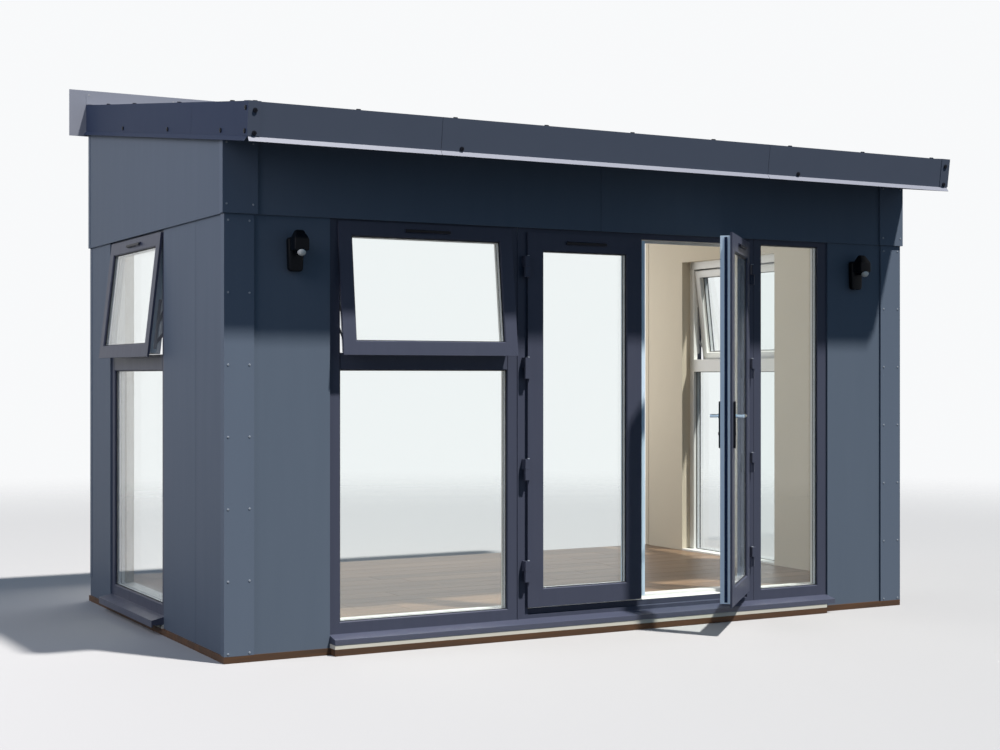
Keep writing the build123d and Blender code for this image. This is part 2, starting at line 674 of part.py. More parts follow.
def hinge_half(axis, side, z, foot):
    """Block of one half of a hinge around its axis; the foot's pairs are (over the leaf, y)."""
    x, y = axis
    away, over, out, back = hinge_block
    block = box(sorted((x + side * away, x + side * over)), (y + out, y + back), z)
    foot_x, foot_y = foot
    return block + box(sorted((x + side * foot_x[0], x + side * foot_x[1])), foot_y, z)


def leaf_hinge(axis, side, z):
    """Leaf half of a hinge, its pin standing up into the other half; side is 1 for a leaf to its right."""
    x, y = axis
    middle = z - joint / 4
    pin = Pos(x, y, middle + hinge_height * 0.2) * Cylinder(3.0, hinge_height * 0.4)
    return hinge_half(axis, side, (z - hinge_height / 2, middle), ((0, 15), (y, leaf_front))) + pin


def frame_hinge(axis, side, z):
    """Frame half of a hinge, on the jamb."""
    x, y = axis
    middle = z + joint / 4
    foot = ((hinge_block[0], hinge_block[0] + 15), (y, frame_recess))
    bore = Pos(x, y, z + hinge_height * 0.2) * Cylinder(3.3, hinge_height * 0.4 + joint)
    return hinge_half(axis, side, (middle, z + hinge_height / 2), foot) - bore


left_bars, left_panes = door_leaf((left_leaf_left, left_leaf_right), None)
meeting_front = leaf_front + leaf_flange + 6.0
meeting_start = left_leaf_right - leaf_overlap - body_clearance + seat_gap
meeting_bar = box((meeting_start, left_leaf_right + mullion_reach),
                  (meeting_front, meeting_front + mullion_thickness),
                  (leaf_bottom + leaf_overlap + body_clearance, leaf_top - leaf_overlap - body_clearance))
save("left_leaf", *left_bars, meeting_bar)
save("left_leaf_glass", *left_panes)
hinge_centres = [leaf_top - share * (leaf_top - leaf_bottom) - hinge_height / 2 for share in hinge_shares]
left_halves = [leaf_hinge(left_hinge, 1, z) for z in hinge_centres]
save("left_leaf_hinges", *left_halves)
frame_halves = [frame_hinge(left_hinge, 1, z) for z in hinge_centres]
frame_halves += [frame_hinge(right_hinge, -1, z) for z in hinge_centres]
save("frame_hinges", *frame_halves)

spindle_x = right_leaf_left + handle_backset
spindle_hole = Pos(spindle_x, leaf_front + 30, handle_height) * Rot(90, 0, 0) * Cylinder(7.0, 120)
right_bars, right_panes = door_leaf((right_leaf_left, right_leaf_right), True)
right_bars = [bar - spindle_hole for bar in right_bars]
right_halves = [leaf_hinge(right_hinge, -1, z) for z in hinge_centres]

leaf_back = leaf_front + leaf_flange + leaf_body_depth


def backplate_at(face_y, out):
    """A long handle plate with the end of its lock cylinder; out is -1 outside and 1 inside."""
    wide, tall, thick = backplate
    top = handle_height + backplate_rise
    y = sorted((face_y, face_y + out * thick))
    plate = box((spindle_x - wide / 2, spindle_x + wide / 2), y, (top - tall, top))
    upright = [edge for edge in plate.edges() if abs(edge.length - thick) < 1e-6]
    plate = fillet(upright, wide / 2 - 1)
    plate -= Pos(spindle_x, face_y, handle_height) * Rot(90, 0, 0) * Cylinder(10.5, thick * 3)
    cylinder_y = face_y + out * (thick + 3) / 2
    cylinder_place = Pos(spindle_x, cylinder_y, handle_height - cylinder_drop) * Rot(90, 0, 0)
    plate += cylinder_place * Cylinder(8.5, thick + 3)
    return plate


def lever(face_y, out):
    """One lever: neck, bend and grip pointing to the hinge side."""
    neck_end = face_y + out * (backplate[2] + lever_reach)
    neck_start = face_y + out * seat_gap
    thick = lever_thickness / 2
    neck = Pos(spindle_x, (neck_start + neck_end) / 2, handle_height) * Rot(90, 0, 0)
    neck *= Cylinder(thick, abs(neck_end - neck_start))
    grip_y = sorted((neck_end, neck_end - out * 14))
    grip = box((spindle_x - thick, spindle_x + lever_length), grip_y,
               (handle_height - thick, handle_height + thick))
    ends = grip.edges().filter_by(Axis.Y)
    return neck + fillet(ends, 8.0)


lock_edge = right_leaf_left + mullion_reach - leaf_meeting_gap + body_clearance + 1
lock_plate = box((lock_edge - 2.5, lock_edge), (leaf_front + 30, leaf_front + 46),
                 (leaf_bottom + 24, leaf_top - 24))
levers = lever(leaf_front, -1) + lever(leaf_back, 1)
levers += box((spindle_x - 4, spindle_x + 4), (leaf_front - 5, leaf_back + 5),
              (handle_height - 4, handle_height + 4))
hinge_place = Pos(right_hinge[0], right_hinge[1], 0)
open_door = hinge_place * Rot(0, 0, door_angle) * hinge_place.inverse()
save("right_leaf", *[open_door * piece for piece in right_bars])
save("right_leaf_glass", *[open_door * piece for piece in right_panes])
save("right_leaf_hinges", *[open_door * piece for piece in right_halves])
save("handle_backplates", open_door * backplate_at(leaf_front, -1), open_door * backplate_at(leaf_back, 1))
save("lock_faceplate", open_door * lock_plate)
save("door_levers", open_door * levers)

# Wall lights


def wall_light(x):
    """A down-light: body on the wall, a hood over it and a movement sensor under the hood."""
    wide, deep, tall = light_body
    body = box((x - wide / 2, x + wide / 2), (-deep, trim_proud), (light_bottom, light_bottom + tall))
    body = fillet(body.edges().filter_by(Axis.Z).group_by(Axis.Y)[0], 14.0)
    low = Plane((x, -43, light_bottom + tall - 32)) * Rectangle(104, 106)
    high = Plane((x, -17, light_bottom + hood_rise)) * Rectangle(52, 54)
    sensor_z = light_bottom + sensor_rise
    sensor = Pos(x, -92, sensor_z) * Rot(90, 0, 0) * Cylinder(24, 40)
    dome = Pos(x, -106, sensor_z) * Sphere(20)
    return body + loft([low, high]) + sensor + dome


light_x = half - light_share * front_panel_width
save("left_wall_light", wall_light(-light_x))
save("right_wall_light", wall_light(light_x))

print("front wall face at y =", round(middle_shift, 3))
print("left hinge axis", round(left_hinge[0], 3), round(left_hinge[1] + middle_shift, 3))
print("right hinge axis", round(right_hinge[0], 3), round(right_hinge[1] + middle_shift, 3))
lever_axis = open_door * Pos(spindle_x, leaf_front, handle_height)
print("lever axis through", [round(value, 3) for value in (lever_axis.position + Vector(0, middle_shift, 0))])
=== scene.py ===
# %% [markdown]
# # A lean-to garden room, dressed
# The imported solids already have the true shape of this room: grey insulated walls, plastic frames, two
# glazed doors and a roof that falls to the front. This script loads them, gives each surface the finish of
# the real one, and adds what is too fine for the solids: planks, screws, seals, sash stays and the lamps'
# lenses. Lengths are metres. x runs to the right along the front, y goes inwards and z goes up.

# %% Load the frame
import math
import random

import bmesh
import bpy
from mathutils import Matrix, Vector


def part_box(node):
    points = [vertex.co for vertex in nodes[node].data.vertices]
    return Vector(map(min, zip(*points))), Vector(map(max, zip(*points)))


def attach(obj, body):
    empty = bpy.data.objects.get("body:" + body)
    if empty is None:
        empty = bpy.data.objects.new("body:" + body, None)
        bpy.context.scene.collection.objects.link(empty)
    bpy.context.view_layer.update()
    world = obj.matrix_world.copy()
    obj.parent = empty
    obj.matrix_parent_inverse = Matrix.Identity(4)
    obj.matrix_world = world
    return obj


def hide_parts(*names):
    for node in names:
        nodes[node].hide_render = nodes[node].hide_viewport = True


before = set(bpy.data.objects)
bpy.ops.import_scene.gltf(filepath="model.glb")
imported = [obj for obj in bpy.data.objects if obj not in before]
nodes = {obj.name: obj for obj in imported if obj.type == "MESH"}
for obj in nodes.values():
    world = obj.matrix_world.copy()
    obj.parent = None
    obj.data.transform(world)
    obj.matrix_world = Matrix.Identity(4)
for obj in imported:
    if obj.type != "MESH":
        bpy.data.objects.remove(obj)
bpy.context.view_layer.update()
scene = bpy.context.scene
print(len(nodes), "solids loaded")

# %% [markdown]
# The front plane of the room is not at y = 0, because the open door reaches out in front of it and the
# frame's origin lies under the middle of the whole. The lower corner covers lie in that plane, and the
# upper ones stand 12 mm in front of it, so their box tells where it is. Everything else is written as a
# distance from it or from the plane of a side.

# %% Front plane and sides
COVER_PROUD = 0.012
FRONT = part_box("left_corner_trim")[0][1] + COVER_PROUD
SIDE = 2.2
print("front plane at y", round(FRONT, 4), "and sides at x", -SIDE, "and", SIDE)

# %% [markdown]
# The camera looks at the room from its left and from eye height. Its place, turn and focal length were
# worked out from corners that can be seen in the photograph, so the two pictures lie on each other. A view
# from straight in front would hide the side wall.

# %% Camera
EYE_LEFT, EYE_AHEAD, EYE_HIGH = 2.6581, 7.7624, 1.43
EYE_TURN = math.radians(28.504)
eye = bpy.data.cameras.new("eye")
eye.sensor_width = 36.0
eye.lens = 58.731
eye.shift_y = 0.0009
eye.clip_end = 200.0
eye_object = bpy.data.objects.new("eye", eye)
eye_object.location = (-SIDE - EYE_LEFT, FRONT - EYE_AHEAD, EYE_HIGH)
eye_object.rotation_euler = (math.radians(90), 0, -EYE_TURN)
scene.collection.objects.link(eye_object)
scene.camera = eye_object
scene.view_settings.view_transform = "Standard"
print("camera at", [round(value, 3) for value in eye_object.location])

# %% [markdown]
# ## Studio
# Every look in this script is made of shader nodes. Three helpers empty a tree, add a node with its values
# and link sockets, so that each finish reads as a list of its nodes and a list of its links.

# %% Helpers for shader nodes
def emptied(owner):
    """Turns nodes on in a material or a world, and returns its empty tree."""
    owner.use_nodes = True
    owner.node_tree.nodes.clear()
    return owner.node_tree


def block(tree, kind, values=None, **settings):
    """Adds a node, with its own settings and with values for its inputs."""
    made = tree.nodes.new("ShaderNode" + kind)
    for setting, value in settings.items():
        setattr(made, setting, value)
    for socket, value in (values or {}).items():
        made.inputs[socket].default_value = value
    return made


def wire(tree, *pairs):
    """Links each output to its input."""
    for start, end in pairs:
        tree.links.new(start, end)


# %% [markdown]
# Light and looks are kept apart. A white world behind the room would also light it from all sides and wash
# its shade out. So the world and the floor ask what kind of ray meets them: they are pale to a ray that
# looks, and darker to a ray that only carries light.

# %% Helpers for what a ray meets
def larger(tree, first, second):
    """The larger of two values."""
    most = block(tree, "Math", operation="MAXIMUM")
    wire(tree, (first, most.inputs[0]), (second, most.inputs[1]))
    return most.outputs[0]


def looked_at(tree):
    """1 for a ray from the camera, through glass or off a mirror, and 0 for one that carries light."""
    path = block(tree, "LightPath")
    direct = larger(tree, path.outputs["Is Camera Ray"], path.outputs["Is Transmission Ray"])
    return larger(tree, direct, path.outputs["Is Glossy Ray"])


def mixed(tree, share, first, second):
    """Two shaders mixed: only the first where the share is 0, and only the second where it is 1."""
    both = block(tree, "MixShader")
    wire(tree, (share, both.inputs["Fac"]), (first.outputs[0], both.inputs[1]),
         (second.outputs[0], both.inputs[2]))
    return both.outputs[0]


# %% Sky
sky = bpy.data.worlds.new("studio")
scene.world = sky
tree = emptied(sky)
fill = block(tree, "Background", {"Color": (0.24, 0.60, 1.0, 1), "Strength": 0.24})
white = block(tree, "Background", {"Color": (0.94, 0.95, 0.96, 1), "Strength": 1.0})
out = block(tree, "OutputWorld")
wire(tree, (mixed(tree, looked_at(tree), fill, white), out.inputs["Surface"]))
print("the sky is blue to the room and white to the eye")

# %% [markdown]
# The floor is a large plane that carries the room's shadow. It turns clear with the distance from the room,
# so that no horizon shows behind it.

# %% Floor
FLOOR_WIDE, FLOOR_DROP = 60, 0.001
FADE_START, FADE_END = 7.0, 15.0
bpy.ops.mesh.primitive_plane_add(size=FLOOR_WIDE, location=(0, 0, -FLOOR_DROP))
floor = bpy.context.object
floor.name = "studio_floor"
pale = bpy.data.materials.new("pale_floor")
tree = emptied(pale)
place = block(tree, "TexCoord")
away = block(tree, "VectorMath", operation="LENGTH")
fade = block(tree, "MapRange", {"From Min": FADE_START, "From Max": FADE_END},
             interpolation_type="SMOOTHSTEP")
tones = block(tree, "Mix", {6: (0.055, 0.055, 0.055, 1), 7: (0.40, 0.40, 0.41, 1)}, data_type="RGBA")
matt = block(tree, "BsdfDiffuse")
clear = block(tree, "BsdfTransparent")
out = block(tree, "OutputMaterial")
wire(tree,
     (looked_at(tree), tones.inputs[0]), (tones.outputs[2], matt.inputs["Color"]),
     (place.outputs["Object"], away.inputs[0]), (away.outputs["Value"], fade.inputs["Value"]),
     (mixed(tree, fade.outputs["Result"], matt, clear), out.inputs["Surface"]))
floor.data.materials.append(pale)
print("the floor fades out between", FADE_START, "and", FADE_END, "m")

# %% [markdown]
# A sun lamp from the upper right gives the band of shade under the roof. A large soft lamp on the left does
# what the open sky does for the side wall, and one behind the open rear brightens the inside. That last one
# stays hidden from the camera, from glass and from reflections.

# %% Lamps
def lamp(name, kind, energy, colour, turned, place=(0, 0, 0), size=None):
    """A lamp linked to the scene; size is the width and height of an area lamp."""
    light = bpy.data.lights.new(name, kind)
    light.energy = energy
    light.color = colour
    if size:
        light.shape = "RECTANGLE"
        light.size, light.size_y = size
    holder = bpy.data.objects.new(name, light)
    holder.location = place
    holder.rotation_euler = turned
    scene.collection.objects.link(holder)
    return holder


TO_SUN = Vector((0.250, -0.3955, 0.884))
sun = lamp("sun", "SUN", 6.2, (1.0, 0.96, 0.9), TO_SUN.to_track_quat("Z", "Y").to_euler())
sun.data.angle = math.radians(2.5)
SOFT_PLACE, SOFT_AIM = Vector((-7.6, -1.25, 4.7)), Vector((-2.2, 0.3, 1.5))
soft_turn = (SOFT_PLACE - SOFT_AIM).to_track_quat("Z", "Y").to_euler()
lamp("soft_lamp", "AREA", 230.0, (1.0, 0.94, 0.99), soft_turn, SOFT_PLACE, (5.0, 4.0))
rear = lamp("open_back_lamp", "AREA", 85.0, (1.0, 0.97, 0.92), (math.radians(-90), 0, 0),
            (0, FRONT + 3.5, 1.7), (4.0, 2.2))
rear.visible_camera = rear.visible_glossy = rear.visible_transmission = False
print(len(bpy.data.lights), "lamps")

# %% [markdown]
# ## Finishes
# Most finishes share one recipe: a base colour that wanders a little, a roughness that wanders with it, and
# a small bump. A helper builds that recipe once, and each finish gives it its own colours, sizes and sheen.
# The patterns read Object coordinates, because these meshes have no unwrapped texture space.

# %% A recipe for coated surfaces
def srgb(red, green, blue):
    """A colour as seen on a screen, 0 to 255, for a shader."""
    return tuple((level / 255 / 12.92) if level <= 10.3 else ((level / 255 + 0.055) / 1.055) ** 2.4
                 for level in (red, green, blue)) + (1,)


def coated(name, colour, second, roughness, spread=0.05, scale=3.0, stretch=(1, 1, 1), grain=900, bump=0.02,
           metallic=0.0, specular=0.5):
    """A coated or moulded surface: two tones mixed by stretched noise, with a fine bump."""
    material = bpy.data.materials.new(name)
    tree = emptied(material)
    place = block(tree, "TexCoord")
    turned = block(tree, "Mapping", {"Scale": stretch})
    wander = block(tree, "TexNoise", {"Scale": scale, "Detail": 5})
    fine = block(tree, "TexNoise", {"Scale": grain, "Detail": 2})
    tones = block(tree, "Mix", {6: srgb(*colour), 7: srgb(*second)}, data_type="RGBA")
    sheen = block(tree, "MapRange", {"To Min": roughness - spread, "To Max": roughness + spread})
    raised = block(tree, "Bump", {"Strength": bump, "Distance": 0.001})
    shader = block(tree, "BsdfPrincipled", {"Metallic": metallic, "Specular IOR Level": specular})
    out = block(tree, "OutputMaterial")
    wire(tree,
         (place.outputs["Object"], turned.inputs["Vector"]), (turned.outputs[0], wander.inputs["Vector"]),
         (place.outputs["Object"], fine.inputs["Vector"]), (fine.outputs["Fac"], raised.inputs["Height"]),
         (wander.outputs["Fac"], tones.inputs[0]), (wander.outputs["Fac"], sheen.inputs["Value"]),
         (tones.outputs[2], shader.inputs["Base Color"]),
         (sheen.outputs["Result"], shader.inputs["Roughness"]),
         (raised.outputs[0], shader.inputs["Normal"]), (shader.outputs[0], out.inputs["Surface"]))
    return material


# %% [markdown]
# The outside is coated sheet. The panels have a faint upright drift from the coating line, the folded edges
# are a shade darker, and the flashing is a dull grey with the roughest surface of them all.

# %% Sheet metal
cladding = coated("cladding_grey", (93, 104, 119), (89, 100, 115), 0.50, spread=0.02, scale=2.2,
                  stretch=(6, 6, 0.6), grain=700, bump=0.03, specular=0.08)
cover = coated("corner_cover", (96, 107, 123), (93, 104, 120), 0.48, spread=0.02, scale=2.5,
               stretch=(5, 5, 0.6), grain=800, specular=0.08)
trim = coated("trim_anthracite", (81, 88, 103), (78, 85, 100), 0.52, spread=0.02, scale=2.5,
              stretch=(3, 3, 3), specular=0.03)
# The fascias' sides get a darker, bluer copy of the trim: painted shade and sky light.
side_trim_painted_shade = coated("side_trim_painted_shade", (55, 65, 87), (52, 62, 84), 0.52, spread=0.02, scale=2.5,
                   stretch=(3, 3, 3), specular=0.03)
# The lip is pale grey: a painted highlight of the sun glancing off it.
lip_painted_glint = coated("lip_painted_glint", (140, 143, 156), (134, 137, 150), 0.45, spread=0.03, grain=700, specular=0.1)
roof_sheet = coated("roof_sheet", (70, 75, 88), (62, 68, 80), 0.45, spread=0.07, scale=1.6, grain=600,
                    bump=0.03)
flashing_grey = coated("flashing_grey", (125, 129, 141), (114, 118, 131), 0.55, spread=0.08, scale=4.0,
                       grain=300, bump=0.10)
sill_grey = coated("sill_grey", (70, 75, 93), (66, 70, 88), 0.36, stretch=(1, 4, 4))
print(len(bpy.data.materials), "finishes with the sheet metal")

# %% [markdown]
# The frames are white plastic, and outside they wear a dark foil with a grain pressed into it, which a
# noise stretched along the bars gives. The edges of the door leaves get a bluer white of their own than the
# windows inside: a painted sky light, for the open sky that lights them.

# %% Plastic, linings and rubber
foil = coated("foil_anthracite", (73, 77, 93), (67, 71, 87), 0.34, scale=30, stretch=(1, 1, 0.08), grain=1500,
              bump=0.06, specular=0.08)
painted_sky_white = coated("leaf_white_painted_sky", (218, 238, 254), (211, 232, 250), 0.28, spread=0.04, grain=800, bump=0.01)
white_plastic = coated("plastic_white", (226, 226, 224), (219, 219, 217), 0.30, spread=0.04, grain=800,
                       bump=0.01)
cream = coated("lining_cream", (200, 190, 172), (194, 184, 166), 0.70, scale=1.5, grain=400, bump=0.08)
ceiling_white = coated("ceiling_white", (232, 230, 222), (226, 224, 216), 0.75, spread=0.04, scale=1.5,
                       grain=400, bump=0.06)
packer = coated("packer_pale", (214, 211, 200), (200, 196, 184), 0.60, spread=0.06, scale=6, grain=300,
                bump=0.10)
rubber = coated("seal_rubber", (24, 25, 28), (18, 19, 22), 0.60, spread=0.08, scale=20, grain=600, bump=0.10,
                specular=0.3)
print(len(bpy.data.materials), "finishes with the plastic")

# %% [markdown]
# The small parts are where the eye rests. Levers, stays and cylinders are bare metal, which a Metallic of 1
# gives. The lamps, vents and handle plates are black with hardly any gloss, so that they stay black against
# the white background.

# %% Small parts
black_satin = coated("black_satin", (16, 20, 30), (12, 15, 24), 0.40, spread=0.06, scale=9, bump=0.03,
                     specular=0.1)
# The lever chrome is tinted blue: a painted reflection of the sky.
chrome_painted_sky = coated("lever_chrome", (170, 190, 208), (160, 181, 200), 0.12, spread=0.04, scale=12, bump=0.01,
                metallic=1.0)
steel = coated("brushed_steel", (170, 172, 176), (150, 152, 157), 0.30, spread=0.08, scale=40,
               stretch=(1, 1, 0.1), bump=0.04, metallic=1.0)
# The steel lock plate is a dark navy with little gloss: a painted reflection of dark surroundings under a
# blue sky.
lock_painted_reflection = coated("lock_painted_reflection", (14, 32, 64), (10, 26, 56), 0.45, scale=40, stretch=(1, 1, 0.1), bump=0.04,
                   specular=0.1)
lamp_black = coated("lamp_black", (7, 11, 18), (4, 8, 14), 0.45, scale=12, grain=800, bump=0.04,
                    specular=0.08)
sensor_grey = coated("sensor_grey", (206, 207, 204), (196, 197, 194), 0.28, spread=0.04, scale=12, grain=700)
# The pale screws are the cladding's grey as it looks in sun: painted light, also used on the hinge caps.
screw_painted_highlight = coated("screw_painted_highlight", (146, 153, 163), (136, 143, 153), 0.40, scale=9, bump=0.03)
screw_dark = coated("screw_dark", (20, 23, 32), (15, 18, 27), 0.45, scale=9, bump=0.03, specular=0.1)
spacer_silver = coated("spacer_silver", (198, 202, 206), (186, 190, 195), 0.40, scale=30)
print(len(bpy.data.materials), "finishes with the small parts")

# %% [markdown]
# Wood is drawn differently. Noise that is stretched along the board makes the rings, a finer one the pores,
# and a colour ramp turns their sum into light and dark wood. The base is stained sawn timber, and the floor
# is oiled oak.

# %% Wood
ALONG_X, ALONG_Y = (0.06, 1, 1), (1, 0.06, 1)


def wood(name, light, dark, stretch, ring_scale, roughness):
    """Wood whose grain runs along the axis that the stretch flattens."""
    material = bpy.data.materials.new(name)
    tree = emptied(material)
    place = block(tree, "TexCoord")
    turned = block(tree, "Mapping", {"Scale": stretch})
    rings = block(tree, "TexNoise", {"Scale": ring_scale, "Detail": 6, "Distortion": 1.4})
    pores = block(tree, "TexNoise", {"Scale": ring_scale * 9, "Detail": 3})
    blend = block(tree, "Mix", {0: 0.25})
    tones = block(tree, "ValToRGB")
    dark_stop, light_stop = tones.color_ramp.elements
    dark_stop.position, dark_stop.color = 0.32, srgb(*dark)
    light_stop.position, light_stop.color = 0.68, srgb(*light)
    raised = block(tree, "Bump", {"Strength": 0.25, "Distance": 0.001})
    shader = block(tree, "BsdfPrincipled", {"Roughness": roughness})
    out = block(tree, "OutputMaterial")
    wire(tree,
         (place.outputs["Object"], turned.inputs["Vector"]), (turned.outputs[0], rings.inputs["Vector"]),
         (turned.outputs[0], pores.inputs["Vector"]), (rings.outputs["Fac"], blend.inputs[2]),
         (pores.outputs["Fac"], blend.inputs[3]), (blend.outputs[0], tones.inputs["Fac"]),
         (pores.outputs["Fac"], raised.inputs["Height"]),
         (tones.outputs["Color"], shader.inputs["Base Color"]),
         (raised.outputs[0], shader.inputs["Normal"]), (shader.outputs[0], out.inputs["Surface"]))
    return material


base_wood = wood("base_timber", (82, 52, 25), (46, 28, 12), ALONG_X, 14, 0.75)
oak = wood("floor_oak", (132, 106, 84), (92, 71, 54), ALONG_X, 18, 0.38)
deck_board = wood("deck_sheet", (186, 156, 112), (160, 130, 88), ALONG_Y, 40, 0.8)
print("wood is ready")

# %% [markdown]
# Window glass is clear and thin, and what makes it look like glass is its reflection, strongest at a
# glancing angle. A shader that refracts gives both, but it also blocks the lamps' light, which would leave
# the room dark. So rays that carry shadow or bounced light pass straight through a plain clear shader
# instead.

# %% Glass
glass = bpy.data.materials.new("window_glass")
tree = emptied(glass)
refracting = block(tree, "BsdfPrincipled", {"Base Color": (0.955, 0.975, 0.97, 1), "Transmission Weight": 1.0,
                                            "Roughness": 0.0, "IOR": 1.45})
clear = block(tree, "BsdfTransparent", {"Color": (0.96, 0.975, 0.97, 1)})
path = block(tree, "LightPath")
out = block(tree, "OutputMaterial")
passing = larger(tree, path.outputs["Is Shadow Ray"], path.outputs["Is Diffuse Ray"])
wire(tree, (mixed(tree, passing, refracting, clear), out.inputs["Surface"]))
print("glass is ready")

# %% [markdown]
# ## Dressing the solids
# A solid with one finish gets it in its only slot. The list goes finish by finish, so one look shows what
# is made of what.

# %% One finish for each plain solid
plain = (
    (cladding, ("front_left_panel", "front_right_panel", "front_header", "left_wall_front_panel",
                "left_wall_rear_panel", "left_wall_upper_panel", "right_wall_front_panel",
                "right_wall_rear_panel", "right_wall_upper_panel")),
    (cover, ("left_corner_trim", "right_corner_trim")),
    (trim, ("front_soffit",)),
    (roof_sheet, ("roof_panels", "roof_seams")),
    (flashing_grey, ("abutment_flashing",)),
    (base_wood, ("base_bearers", "wall_plate", "eaves_batten")),
    (deck_board, ("floor_deck",)),
    (oak, ("floor_boards",)),
    (packer, ("sill_packers",)),
    (cream, ("left_wall_lining", "right_wall_lining", "front_wall_lining")),
    (ceiling_white, ("ceiling",)),
    (white_plastic, ("inner_boards",)),
    (sill_grey, ("front_sill", "left_sill", "right_sill")),
    (glass, ("front_window_glass", "left_window_glass", "right_window_glass", "sidelight_glass",
             "left_leaf_glass", "right_leaf_glass")),
    (foil, ("frame_hinges", "left_leaf_hinges", "right_leaf_hinges")),
    (black_satin, ("handle_backplates",)),
    (lock_painted_reflection, ("lock_faceplate",)),
    (chrome_painted_sky, ("door_levers",)),
    (lamp_black, ("left_wall_light", "right_wall_light")),
)


def dress(name, *finishes):
    """Gives a solid its slots."""
    mesh = nodes[name].data
    mesh.materials.clear()
    for finish in finishes:
        mesh.materials.append(finish)


for finish, names in plain:
    for name in names:
        dress(name, finish)
print(sum(len(names) for finish, names in plain), "solids have one finish")

# %% [markdown]
# The frames need two finishes. The foil goes round their outer edges, as far in as the outer pane, and
# behind it the plastic is white. So each face takes its finish by how deep it lies behind the face of its
# bar, measured along the way that the frame looks. Where a vent stands in front of the bar, that depth is
# below zero. Behind the foil, faces that look into the room are plain white, and the edges can have another
# white, as those of the door leaves do, whose bluer white is painted sky light.

# %% Dark outside and white inside
FRAME_FOIL, DOOR_FRAME_FOIL, FLANGE_FOIL = 0.030, 0.026, 0.0125
VENT_REACH, VENT_START = 0.014, 0.005
FOIL_SLOT, INNER_SLOT, VENT_SLOT, EDGE_SLOT = range(4)


def two_tone(name, outward, face, foil_depth, edge=white_plastic):
    """Faces nearer to the outer face than foil_depth are foil, and a vent before that face is black."""
    dress(name, foil, white_plastic, black_satin, edge)
    outward = Vector(outward).normalized()
    polygons = nodes[name].data.polygons
    for polygon in polygons:
        depth = face - polygon.center.dot(outward)
        if depth < -VENT_START:
            polygon.material_index = VENT_SLOT
        elif depth < foil_depth:
            polygon.material_index = FOIL_SLOT
        elif polygon.normal.dot(outward) < -0.5:
            polygon.material_index = INNER_SLOT
        else:
            polygon.material_index = EDGE_SLOT
    dark = sum(polygon.material_index in (FOIL_SLOT, VENT_SLOT) for polygon in polygons)
    print(name, dark, "of", len(polygons), "faces are dark")


def reach(name, outward):
    """How far a solid reaches along a direction."""
    outward = Vector(outward).normalized()
    return max(vertex.co.dot(outward) for vertex in nodes[name].data.vertices)


# %% [markdown]
# A fixed frame looks straight out of its wall. A sash leans back by the angle at which it stands ajar, and
# the open leaf is turned on its hinges, so for those the direction is turned by the same angle.

# %% Frames, sashes and leaves
FRAME_IN = 0.020
SASH_AJAR, LEAF_OPEN = 6.5, 45.5
sash_turn, leaf_turn = math.radians(SASH_AJAR), math.radians(LEAF_OPEN)
to_front, to_left, to_right = (0, -1, 0), (-1, 0, 0), (1, 0, 0)
down, flat = math.sin(sash_turn), math.cos(sash_turn)
for unit, outward in (("front", to_front), ("left", to_left), ("right", to_right)):
    frame_name, sash_name = f"{unit}_window_frame", f"{unit}_window_sash"
    two_tone(frame_name, outward, reach(frame_name, outward), FRAME_FOIL)
    leaning = (outward[0] * flat, outward[1] * flat, down)
    two_tone(sash_name, leaning, reach(sash_name, leaning) - VENT_REACH, FLANGE_FOIL)
two_tone("door_frame", to_front, -FRONT - FRAME_IN, DOOR_FRAME_FOIL)
turned_out = (math.sin(leaf_turn), -math.cos(leaf_turn), 0)
for name, outward in (("left_leaf", to_front), ("right_leaf", turned_out)):
    # The leaves' edges take the bluer white, which is painted sky light.
    two_tone(name, outward, reach(name, outward) - VENT_REACH, FLANGE_FOIL, painted_sky_white)

# %% [markdown]
# The folded edges of the roof take three finishes. The front of each corner cap is as dark as the front
# fascia. The sides are a darker, bluer copy of that finish, which is painted shade and sky light, and only
# the kicked-out lip is pale, a painted highlight, because it faces the sun. The channels at the walls' ends
# are grey outside and cream inside.

# %% Edges with a second finish
LINING_IN = 0.148


def split_finish(name, first, second, wanted):
    """One finish for a solid, and a second for the faces that are wanted."""
    dress(name, first, second)
    for polygon in nodes[name].data.polygons:
        polygon.material_index = int(wanted(polygon))


for name, side in (("left_end_channel", -1), ("right_end_channel", 1)):
    split_finish(name, cover, cream, lambda face: side * face.center.x < SIDE - LINING_IN)
# Faces that do not look to the front take the painted shade of the sides.
for name in ("left_fascia", "right_fascia"):
    split_finish(name, side_trim_painted_shade, trim, lambda face: face.normal.y < -0.9)
# The lip's faces, turned up and out to the sun, take the painted highlight.
split_finish("front_fascia", trim, lip_painted_glint, lambda face: face.normal.z > 0.3 and face.normal.y < -0.5)
print("channels and fascias have two finishes")

# %% [markdown]
# ## Modelling helpers
# New pieces are made as by hand: a primitive is added, some of its faces are picked, and edit-mode tools
# work on them. An operator acts on all that is selected, so the first helpers control what that is.

# %% Selecting and picking
def only(*pieces):
    """Selects these pieces and nothing else."""
    bpy.ops.object.select_all(action="DESELECT")
    for piece in pieces:
        piece.select_set(True)
    bpy.context.view_layer.objects.active = pieces[0]


def pick(piece, wanted, kind="FACE"):
    """Goes to edit mode with the wanted faces or edges selected."""
    only(piece)
    bpy.ops.object.mode_set(mode="EDIT")
    bpy.ops.mesh.select_mode(type=kind)
    bpy.ops.mesh.select_all(action="DESELECT")
    mesh = bmesh.from_edit_mesh(piece.data)
    mesh.normal_update()
    for part in (mesh.faces if kind == "FACE" else mesh.edges):
        part.select_set(bool(wanted(part)))
    bmesh.update_edit_mesh(piece.data)


def leave():
    """Goes back to object mode."""
    bpy.ops.object.mode_set(mode="OBJECT")


def upward(face):
    """Picks the top."""
    return face.normal.z > 0.9


# %% [markdown]
# The next helpers add the three primitives that the pieces start from. A bevel modifier that is applied at
# once rounds their edges, because a real edge is never sharp and always catches a line of light.

